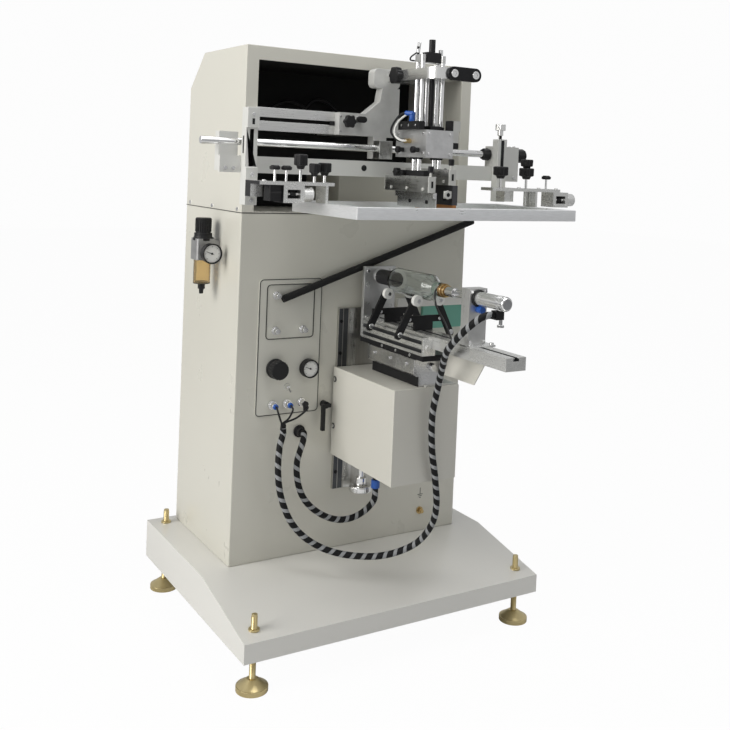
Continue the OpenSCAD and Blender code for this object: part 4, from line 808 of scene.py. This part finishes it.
# Upper beam: an extruded aluminium profile with a black slot along its front, and an
# enamelled end held by two screws. A small black sensor sits in the slot.
brushed_x = finished("extruded_along_x", grain, (0.66, 0.66, 0.65), 0.30, 1.0, 0.8,
                     Stretch=(22, 700, 700))
brushed_y = finished("extruded_along_y", grain, (0.66, 0.66, 0.65), 0.30, 1.0, 0.8,
                     Stretch=(700, 22, 700))


def beam_looks(c, n):
    q = mm(c)
    if q.x > -94.4:
        return 2
    return 1 if -24.8 < q.y < -15 and 1128 < q.z < 1148 and abs(n.x) < 0.5 else 0


dressed("upper_beam", [brushed_x, matt_black, enamel], edge=0.4, pick=beam_looks)
bm = bmesh.new()
block(bm, at(-106, -27.5, 1133), at(-95, -22, 1143), 0.6)
put("beam_sensor", bm, black_plastic, "upper_beam")
bm = bmesh.new()
for z in (1122, 1154):
    cap_screw(bm, at(-91, -46, z), FRONT, 2.6, 2, 16)
put("beam_screws", bm, steel, "upper_beam")

# Rod bearing: a block of brushed aluminium with its edges broken, bored for the slide
# rod.
dressed("rod_bearing", brushed, edge=1)

# Squeegee head: a cross rod in a bright link arm, clamped by a black star knob, and a
# rough cast block with guide bushes, brass and blue fittings and two short air tubes.
nylon = finished("white_nylon", skin, (0.80, 0.80, 0.77), 0.38, 0.0, 0.4, Size=500.0)


def cross_rod_looks(c, n):
    q = mm(c)
    if q.y < -263.2 and q.z > 1200:
        return 1
    if q.x < 9.5 and q.z > 1200:
        return 3
    if q.z < 1235.5 and q.y < -193:
        return 1
    if q.z < 1235.5 or q.x > 95 or q.y > -50.5:
        return 0
    return 2


bright_alloy = finished("bright_alloy", grain, (0.80, 0.80, 0.79), 0.24, 0.9, 0.4,
                        Stretch=(700, 30, 700))
dressed("head_cross_rod", [chrome, black_steel, bright_alloy, black_plastic], edge=1.2,
        pick=cross_rod_looks)
bm = bmesh.new()
for x in (53, 108):
    ring_on(bm, at(x, -271.9, 1248), FRONT, 8.8, 4.5, 1.8, 28)
    cone_on(bm, at(x, -271.8, 1248), FRONT, 4.6, 4.6, 0.9, 6)
for y in (-75, -240):
    for x in (26, 62):
        cap_screw(bm, at(x, y, 1259.8), UP, 4.5, 3.5)
rings_done(bm)
put("link_screws", bm, chrome, "head_cross_rod")
bm = bmesh.new()
lobed(bm, at(10, -122, 1248), LEFT, 20.5, 15, 6, 0.12)
put("wing_knob", bm, black_plastic, "head_cross_rod")
light_grey = paint("light_grey_paint", (0.60, 0.60, 0.57), 0.4)


def head_looks(c, n):
    q = mm(c)
    if q.x < 8.8:
        return 1
    if q.z > 1128.3:
        return 1 if q.x < 80 else 2
    if q.x > 79.3:
        return 2 if 1103 < q.z < 1122 else 1
    return 0


rough_cast = finished("rough_cast", skin, (0.62, 0.62, 0.62), 0.36, 0.85, 0.9, 0.0007, 0.7,
                      Size=95.0)
bm = one_look(copied("head_block", 1.8))
for where, facing in ((at(87, -228, 1103), UP), (at(87, -228, 1122), UP),
                      (at(80, -228, 1140), RIGHT)):
    bmesh.ops.bisect_plane(bm, geom=bm.verts[:] + bm.edges[:] + bm.faces[:], plane_co=where,
                           plane_no=facing)
put("head_block_finish", bm, [rough_cast, black_plastic, light_grey], "head_block",
    stands_for=True, pick=head_looks)
bm = bmesh.new()
for x in (18, 70):
    for y in (-183, -203):
        ring_on(bm, at(x, y, 1128), UP, 8.8, 5.4, 8, 28)
        ring_on(bm, at(x, y, 1069), DOWN, 8.8, 5.4, 4, 28)
block(bm, at(30, -224, 1128), at(58, -172, 1137), 0.8)
lobed(bm, at(0, -153, 1085), LEFT, 7.5, 9, 12, 0.04)
lobed(bm, at(0, -213, 1085), LEFT, 7.5, 9, 12, 0.04)
rings_done(bm)
put("guide_bushes", bm, black_steel, "head_block")
bm = bmesh.new()
for y, z in ((-133, 1078), (-231, 1078), (-133, 1119), (-231, 1119)):
    cap_screw(bm, at(9.2, y, z), LEFT, 3.6, 2.4)
for x, z in ((17, 1077), (71, 1077), (17, 1120), (71, 1120)):
    cap_screw(bm, at(x, -240.8, z), FRONT, 3.6, 2.4)
for y in (-162, -189, -216):
    cap_screw(bm, at(-2.8, y, 1137), LEFT, 2.8, 1.8, 16)
put("head_screws", bm, steel, "head_block")
bm = bmesh.new()
for y, z in ((-166, 1104), (-180, 1104)):
    cone_on(bm, at(9, y, z), LEFT, 5.2, 5.2, 6, 6)
    turned(bm, at(3, y, z), LEFT, 4, 3.4, 5.5, 20, 0.4)
put("head_fittings", bm, brass, "head_block")
bm = bmesh.new()
cone_on(bm, at(4.5, -190, 1145.5), UP, 6.2, 6.2, 5.5, 6)
turned(bm, at(4.5, -190, 1150), UP, 5.8, 5.8, 16, 24, 1.2)
turned(bm, at(4.5, -193, 1162), (-0.5, 1, 0.1), 5.4, 4.8, 19, 24, 1)
put("head_blue_fitting", bm, blue_plastic, "head_block")


def tube(name, points, steps, radius, sides, made):
    piece, _ = hose_mesh(name, smooth_route(points, steps), radius / 1000, sides)
    piece.data.materials.append(made)
    return piece


for name, made, points in (
        ("head_tube_black", black_plastic,
         [(-5, -176, 1164), (-10, -162, 1158), (-16, -146, 1138), (-17, -142, 1122),
          (-12, -150, 1109), (-6, -160, 1104), (-1.5, -166, 1104)]),
        ("head_tube_white", nylon,
         [(-2, -178, 1160), (-8, -160, 1148), (-14, -152, 1130), (-15, -156, 1114),
          (-10, -170, 1105), (-5, -178, 1104), (-1.5, -180, 1104)])):
    head_tube = tube(name, points, 6, 2.3, 14, made)
    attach(head_tube, "machine")

# Carriage: a chromed slide rod and a satin bar, joined by two painted columns. Black
# knobs and steel cap screws hold them together.
dressed("slide_rod", chrome, "carriage", edge=1)
bar_paint = finished("satin_bar", grain, (0.60, 0.60, 0.58), 0.34, 0.7, 0.8, Stretch=(20, 700, 700))
column_white = paint("column_white", (0.72, 0.72, 0.69), 0.3)


def bar_looks(c, n):
    q = mm(c)
    if q.x > 398.8 or (296 < q.x < 316.3 and q.z > 1060):
        return 1
    return 2 if q.z > 1057.5 else 0


dressed("carriage_bar", [bar_paint, black_plastic, column_white], "carriage", edge=1,
        pick=bar_looks)
for side, middle in (("left", -324.5), ("right", 330)):
    dressed(f"{side}_column", [column_white, matt_black], "carriage", edge=1.2,
            pick=lambda c, n: 1 if abs(mm(c).x - middle) < 4.6 and -95.4 < mm(c).y < -86 else 0)

bm = bmesh.new()
lobed(bm, at(398.9, -60, 1086), RIGHT, 17.5, 25, 8, 0.03)
lobed(bm, at(297, -60, 1086), RIGHT, 15, 19, 8, 0.04)
for x in (-41.7, 180):
    cone_on(bm, at(x, -73.8, 1041), FRONT, 6.8, 6.8, 0.4, 32)
strip(bm, at(325.5, -96.3, 1053), at(334.5, -95.9, 1120))
strip(bm, at(-327.3, -102.3, 1122), at(-321.7, -101.9, 1134))
strip(bm, at(-338.3, -88, 1062), at(-337.9, -82, 1098))
put("carriage_knobs", bm, black_plastic, "carriage_bar", "carriage")
bm = bmesh.new()
for z, r in ((1142.4, 3.6), (1019, 4.6), (966, 4.6)):
    cap_screw(bm, at(-324.5, -101.8, z), FRONT, r, r * 0.6)
for x in (-372, -354, 330, 385):
    cap_screw(bm, at(x, -73.8, 1031), FRONT, 4.2, 2.8)
for z in (985, 1002, 1040):
    cap_screw(bm, at(330, -95.8, z), FRONT, 4.2, 2.8)
for y in (-52, -70):
    cap_screw(bm, at(340, y, 1105.8), UP, 3.6, 2.6)
    cap_screw(bm, at(386, y, 1105.8), UP, 3.6, 2.6)
put("carriage_screws", bm, steel, "carriage_bar", "carriage")
bm = bmesh.new()
lobed(bm, at(330, -85, 1144.5), UP, 12.2, 15, 28, 0.02, 1.0)
turned(bm, at(330, -85, 1132), UP, 7, 7, 13, 28, 0.6)
put("column_cap", bm, bright_alloy, "right_column", "carriage")

# Screen holders: a milled alloy clamp at each side of the frame, with star knobs and flat
# knobs on chromed studs above and a knurled setting dial at each outer end.
def holder_looks(c, n):
    q = mm(c)
    if q.z > 1024.2 or (q.x < -284.2 and q.z < 1000.5 and q.y > -170 and q.y < -130):
        return 1
    return 2 if q.z > 1008.4 else 0


holder_alloy = finished("holder_alloy", grain, (0.74, 0.74, 0.72), 0.27, 0.85, 0.35,
                        Stretch=(500, 40, 500))
dressed("left_holder", [holder_alloy, black_plastic, chrome], "carriage", edge=0.9,
        pick=holder_looks)
dressed("right_holder", [holder_alloy, black_plastic, chrome], "carriage", edge=0.9,
        pick=holder_looks)
bm = bmesh.new()
for x, y, z, r, tall in ((-177, -142, 1029, 15.8, 20), (-233.5, -142, 1041, 15.8, 24),
                         (-208, -156, 1027, 13, 20), (369, -142, 1036.5, 19, 20),
                         (369, -142, 1060, 16, 17), (284.5, -150, 1036.5, 19, 21)):
    lobed(bm, at(x, y, z), UP, r, tall)
    turned(bm, at(x, y, z - 7), UP, r * 0.42, r * 0.62, 7.5, 28, 0.6)
for x in (-269.5, -295.5, 424.5):
    turned(bm, at(x, -150, 1031), UP, 8.5, 11.8, 5, 32, 0.8)
    turned(bm, at(x, -150, 1035.5), UP, 11.8, 7.5, 5, 32, 1.2)
lobed(bm, at(-312, -150, 984), RIGHT, 18, 28, 10, 0.05)
for x in (-261, 454):
    block(bm, at(x - 13.5, -157, 974.5), at(x + 13.5, -150.2, 991.5), 0.6)
    cone_on(bm, at(x - 6, -162, 983), RIGHT, 6.2, 6.2, 12, 12)
put("holder_knobs", bm, black_plastic, "left_holder", "carriage")
bm = bmesh.new()
cone_on(bm, at(369, -142, 1056), UP, 4.5, 4.5, 5, 20)
cone_on(bm, at(-208, -156, 1007), UP, 3, 3, 21, 16)
for x in (-261, 454):
    thread(bm, at(x - 14, -162, 983), RIGHT, 2.8, 28, 1.4)
for x0 in (-237.3, 477.7):
    lobed(bm, at(x0, -158, 983), RIGHT, 15.3, 21.2, 36, 0.012, 1.0)
    turned(bm, at(x0 + 20.5, -158, 983), RIGHT, 9.5, 7.5, 1.2, 28, 0.4)
for x in (-325, 330, 390, 445):
    cap_screw(bm, at(x, -164, 1007.8), UP, 4.2, 3)
for x in (-278, -244, 437, 471):
    cap_screw(bm, at(x, -171.8, 969.5), FRONT, 2.4, 1.4, 16)
put("holder_dials", bm, bright_alloy, "left_holder", "carriage")

# Screen frame and mesh: brushed aluminium tube joined at the corners, with the woven
# fabric stretched across it and glued on.
frame_alu = finished("frame_tube", grain, (0.88, 0.89, 0.90), 0.34, 0.55, 0.6,
                     Stretch=(60, 60, 500))
dressed("screen_frame", frame_alu, "carriage", edge=1.4)
fabric = finished("screen_fabric", skin, (0.60, 0.63, 0.58), 0.7, 0.0, 0.3)
dressed("screen_mesh", fabric, "carriage", edge=0)

# Squeegee and flood bar: brushed carriers on chromed guide rods. The squeegee holds an
# orange polyurethane blade, and the flood bar a thin steel one.
rubber = finished("polyurethane", skin, (0.50, 0.20, 0.05), 0.35, 0.0, 0.8, Size=90.0)
dark_alloy = finished("dark_anodised", grain, (0.09, 0.09, 0.095), 0.36, 0.85, 0.8,
                      Stretch=(700, 22, 700))


def squeegee_looks(c, n):
    q = mm(c)
    if q.z > 1273.5:
        return 1 if q.x < 64.4 else (3 if q.z > 1290.4 else 0)
    if q.z > 1046.4:
        return 3
    return 2 if q.z < 1011.6 else 0


dressed("squeegee_carrier", [brushed_y, black_plastic, dark_alloy, chrome], "squeegee", edge=1,
        pick=squeegee_looks)
dressed("squeegee_blade", rubber, "squeegee", edge=0.6)
for body, x, z0, drop, carrier in (("squeegee", 70, 1012, 30, "squeegee_carrier"),
                                   ("flood_bar", 18, 995, 20, "flood_carrier")):
    bm = bmesh.new()
    block(bm, at(x - 9, -257.2, z0), at(x + 9, -254.8, z0 + 34), 0.6)
    block(bm, at(x - 9, -84.2, z0), at(x + 9, -81.8, z0 + 34), 0.6)
    for y in (-110, -173, -236):
        cap_screw(bm, at(x - 8.9, y, z0 + 7), LEFT, 3.6, 1.6)
        cap_screw(bm, at(x + 8.9, y, z0 + 7), RIGHT, 3.6, 1.6)
    cone_on(bm, at(x, -250.3, z0 + 34), UP, 2.8, 2.8, 12, 16)
    put(f"{body}_ends", bm, light_grey, carrier, body)
    bm = bmesh.new()
    strip(bm, at(x - 2.6, -257.6, z0 + 10), at(x + 2.6, -257.1, z0 + 24))
    lobed(bm, at(x, -250.3, z0 + 42), UP, 6.2, 14, 10, 0.04)
    for y in (-176, -240):
        face = 16.9 if body == "flood_bar" else 63.4
        cone_on(bm, at(face, y, z0 - drop), LEFT, 4.2, 4.2, 1.2, 24)
    put(f"{body}_trim", bm, black_steel, carrier, body)
bm = bmesh.new()
block(bm, at(46, -265, 984), at(64, -259, 1000), 0.8)
cone_on(bm, at(52, -264, 992), FRONT, 9.5, 9.5, 5, 6)
put("angle_stop", bm, light_grey, "squeegee_carrier", "squeegee")
bm = bmesh.new()
cone_on(bm, at(52, -268.8, 992), FRONT, 4.8, 4.8, 0.5, 6)
put("angle_stop_hole", bm, matt_black, "squeegee_carrier", "squeegee")


def flood_looks(c, n):
    z = mm(c).z
    if 1041.4 < z < 1273.5:
        return 2
    return 1 if 1029.3 < z < 1041.5 or z > 1290.3 else 0


dressed("flood_carrier", [brushed_y, black_plastic, chrome], "flood_bar", edge=1, pick=flood_looks)
dressed("flood_blade", steel, "flood_bar", edge=0.3)
bm = bmesh.new()
turned(bm, at(17, -183, 1294), (0.22, 0.1, 1), 4.2, 3.8, 24, 24, 0.8)
put("stroke_sensor", bm, chrome, "flood_carrier", "flood_bar")
bm = bmesh.new()
lobed(bm, at(11, -139, 1036), LEFT, 10, 13, 6, 0.10)
lobed(bm, at(11, -160, 1035), LEFT, 6, 9, 12, 0.04)
put("yoke_knobs", bm, black_plastic, "flood_carrier", "flood_bar")
sensor_lead = tube("sensor_lead", [(17, -183, 1296), (12, -177, 1291), (8, -170, 1285),
                                   (8, -169, 1279), (13, -178, 1277)],
                   5, 1.7, 10, black_plastic)
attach(sensor_lead, "flood_bar")

# Lift: a painted sheet-steel box, screwed to a black slider that runs on the column. A
# chromed handwheel with a knurled rim turns the lift screw below it.
box_paint = paint("lift_paint", (0.66, 0.645, 0.585), 0.32)
dressed("elevator_box", box_paint, "lift_table", edge=3)


def slider_looks(c, n):
    q = mm(c)
    if q.z > 383.5:
        return 0
    if q.y > -60:
        return 1
    return 2 if q.z < 336.5 else 0


dressed("lift_slider", [black_steel, chrome, blue_plastic], "lift_table", edge=0.6,
        pick=slider_looks)
dressed("handwheel", chrome, "lift_wheel", edge=1.5)
bm = bmesh.new()
lobed(bm, at(0, -45, 302.5), UP, 26.8, 11, 40, 0.008, 1.0)
cone_on(bm, at(0, -45, 313.5), UP, 22.5, 13, 6, 40)
put("handwheel_rim", bm, chrome, "handwheel", "lift_wheel")
bm = bmesh.new()
for x, side in ((-60, -1), (104, 1)):
    for z in (450, 557):
        ring_on(bm, at(x, -14, z), (side, 0, 0), 6.6, 4.4, 1.2, 24)
rings_done(bm)
put("lift_box_washers", bm, black_steel, "elevator_box", "lift_table")
bm = bmesh.new()
for x, side in ((-60, -1), (104, 1)):
    for z in (450, 557):
        cap_screw(bm, at(x - side * 0.2, -14, z), (side, 0, 0), 4.2, 2.6)
put("lift_box_screws", bm, steel, "elevator_box", "lift_table")
bm = bmesh.new()
block(bm, at(20, -262, 584.5), at(98, -186, 588), 0.8)
put("lift_box_top_plate", bm, light_grey, "elevator_box", "lift_table")

# Fixture slide and rails: a ground dovetail slide and a blackened plate on the lift box,
# with a slotted aluminium rail and a painted gusset screwed on.
dressed("dovetail_slide", [steel, black_steel], "lift_table", edge=0.8,
        pick=lambda c, n: 1 if c.z < at(0, 0, 607).z else 0)
dressed("fixture_plate", black_steel, "lift_table", edge=0.8)
bm = bmesh.new()
for y in (-95, -160, -225):
    cap_screw(bm, at(-7.8, y, 630), LEFT, 4.4, 4)
for y in (-122, -178, -234):
    cap_screw(bm, at(-4.8, y, 650), LEFT, 3.4, 1.6)
turned(bm, at(37, -256, 626), FRONT, 8.5, 7.5, 10, 28, 0.8)
put("slide_screws", bm, steel, "dovetail_slide", "lift_table")

rail_alloy = finished("rail_extrusion", grain, (0.74, 0.74, 0.72), 0.28, 0.85, 0.5,
                      Stretch=(700, 18, 700))


# The rail's slot walls take the dark slot finish, as painted shade inside the slots.
def rail_looks(c, n):
    q = mm(c)
    in_upright = -6.8 < q.x < -0.5 and q.y > -281 and 655 < q.z < 694
    in_rail = q.x > 13 and 690.5 < q.z < 697.3 and abs(q.x - 36) < 6.9
    return 1 if abs(n.y) < 0.5 and (in_upright or in_rail) else 0


dressed("workpiece_rail", [rail_alloy, slot_shade_steel], "lift_table", edge=0.3, pick=rail_looks)
bm = bmesh.new()
block(bm, at(-9, -289, 657), at(22, -281.8, 691), 1)
cap_screw(bm, at(2, -288.8, 674), FRONT, 5.5, 3)
block(bm, at(6, -430, 697.6), at(68, -368, 702), 0.8)
for x, y in ((11, -423), (63, -423), (63, -375)):
    cap_screw(bm, at(x, y, 701.8), UP, 4.4, 3.6)
put("rail_end_block", bm, bright_alloy, "workpiece_rail", "lift_table")
dressed("rail_gusset", box_paint, "lift_table", edge=0.4)

# Headstock and roller arms: a milled plate with a chromed bearing ring, and blackened arms
# with chromed screws that set the spread of the nylon rollers.
plate_alloy = finished("milled_plate", grain, (0.60, 0.60, 0.59), 0.32, 0.85, 0.5,
                       Stretch=(60, 700, 60))
dressed("headstock_plate", plate_alloy, "lift_table", edge=1)
bm = bmesh.new()
ring_on(bm, at(37, -35, 793), FRONT, 16.5, 9, 4.5, 40)
for x, z in ((4, 806), (70, 806), (4, 700), (70, 700)):
    cap_screw(bm, at(x, -34.8, z), FRONT, 4.2, 3)
rings_done(bm)
put("headstock_bearing", bm, chrome, "headstock_plate", "lift_table")
arm_black = finished("arm_black", skin, (0.018, 0.018, 0.019), 0.42, 0.3, 1.0, Size=620.0)
dressed("roller_arms", [arm_black, chrome], "lift_table", edge=0.7,
        pick=lambda c, n: 1 if mm(c).z > 760 and (mm(c).y < -228 or -124 < mm(c).y < -111) else 0)
bm = bmesh.new()
for face in (-109.8, -226.8):
    for x in (-29, 103):
        cap_screw(bm, at(x, face, 693), FRONT, 5.8, 4.2)
    for x in (-2, 76):
        cap_screw(bm, at(x, face + 5.5, 723), FRONT, 4, 3.4)
for y in (-123, -240):
    for x in (8.5, 65.5):
        turned(bm, at(x, y + 1.5, 764.5), FRONT, 4.8, 4.4, 2.8, 24, 0.4)
put("arm_screws", bm, chrome, "roller_arms", "lift_table")
dressed("rollers_left", nylon, "left_rollers", edge=0.8)
dressed("rollers_right", nylon, "right_rollers", edge=0.8)

# Spindle: a moulded chuck that grips the base of a clear glass bottle. A green alloy ring
# stands round the bottle's neck.
dressed("bottle_chuck", black_plastic, "spindle", edge=1.2)
glass = see_through("bottle_glass", (0.93, 0.96, 0.95), 0.02, 1.0, 1.50)
dressed("sample_bottle", glass, "spindle", edge=0)
neck_green = finished("neck_ring", grain, (0.46, 0.56, 0.50), 0.25, 0.9, 0.5,
                      Stretch=(300, 300, 300))
bm = bmesh.new()
ring_on(bm, at(37, -263, 793), FRONT, 15, 13.2, 13, 40)
rings_done(bm)
put("bottle_neck_ring", bm, neck_green, "bottle_chuck", "spindle")

# Tailstock: a milled block with a bright air cylinder and its elbow, and a bronze nozzle
# with brass rings that feeds into the bottle's mouth. A thin black lead follows it.
dressed("tailstock_block", plate_alloy, "lift_table", edge=1.2)
tube_alloy = finished("cylinder_tube", grain, (0.80, 0.80, 0.79), 0.24, 0.9, 0.3,
                      Stretch=(400, 400, 400))


def cylinder_looks(c, n):
    q = mm(c)
    if q.z > 778.8:
        return 0
    if q.y > -425:
        return 2
    return 3 if q.z < 759.5 else 1


dressed("tail_cylinder", [tube_alloy, black_plastic, blue_plastic, chrome], "lift_table", edge=0.8,
        pick=cylinder_looks)
bm = bmesh.new()
ring_on(bm, at(37, -408, 793), FRONT, 17.2, 13.8, 4.5, 40)
block(bm, at(28, -381.2, 786), at(46, -379.8, 800), 0.5)
rings_done(bm)
put("cylinder_root_ring", bm, black_plastic, "tail_cylinder", "lift_table")
bm = bmesh.new()
for y in (-476, -479.5, -483, -492):
    ring_on(bm, at(37, y, 793), FRONT, 14.6, 13.8, 1.8, 40)
turned(bm, at(37, -495.8, 793), FRONT, 13.2, 11.2, 3.2, 40, 0.8)
lobed(bm, at(44, -472, 744.5), UP, 6.8, 5, 16, 0.03, 1.0)
for x, z in ((20, 706), (54, 706), (20, 806), (54, 806)):
    cap_screw(bm, at(x, -407.8, z), FRONT, 3.4, 2.4)
rings_done(bm)
put("cylinder_trim", bm, chrome, "tail_cylinder", "lift_table")
bronze = finished("bronze", skin, (0.34, 0.21, 0.10), 0.28, 1.0, 0.8, Size=320.0)
dressed("tail_centre", [bronze, chrome], "tail", edge=0.6,
        pick=lambda c, n: 1 if mm(c).y < -304.6 else 0)
bm = bmesh.new()
for y, r in ((-291, 15), (-299, 12.8)):
    ring_on(bm, at(37, y, 793), FRONT, r, r - 3, 3, 32)
rings_done(bm)
put("nozzle_rings", bm, brass, "tail_centre", "tail")
nozzle_lead = tube("nozzle_lead", [(30, -288, 803), (20, -282, 790), (15, -296, 762),
                                   (5, -343, 735), (-2, -375, 710), (-5, -386, 697)],
                   8, 1.8, 12, black_plastic)
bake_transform(nozzle_lead)

# Air tubes: three short black tubes from the panel's sockets to the main hose, and the
# looped cables in the hood. Each is swept along its route.
tube_black = finished("air_tube", skin, (0.014, 0.014, 0.015), 0.34, 0.0, 0.5)
bm = bmesh.new()
for i in range(3):
    x, foot = -213 + 36 * i, -200 + (i - 1) * 4.6
    route = [(x, -24.3, 510), (x, -28, 510), (x, -32, 509), (x, -38, 502),
             ((x + foot) / 2, -42, 486), (foot, -40, 477), (foot, -40, 471), (foot, -40, 465.3)]
    draft = tube("tube_draft", route, 8, 2.2, 16, tube_black)
    bm.from_mesh(draft.data)
    bpy.data.objects.remove(draft)
put("socket_tube_set", bm, tube_black, "socket_tubes", stands_for=True)
FOOT_TOP = 1163
CABLES = [(-152, 236.7, -12), (-152, 230, -12), (-152, 225, -10), (-141, 218, 12),
          (-120, 218, 25), (-93, 218, 33), (-66, 218, 29), (-46, 218, 21), (-30, 218, 36),
          (-11, 218, 42), (15, 218, 37), (36, 218, 23), (52, 218, 10), (62, 224, 2),
          (62, 230, 0), (62, 236.7, 0)]
cables = tube("hood_cable_loops", [(x, y, FOOT_TOP + z) for x, y, z in CABLES], 8, 4, 18,
              tube_black)
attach(cables, "machine")
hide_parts("hood_cables")
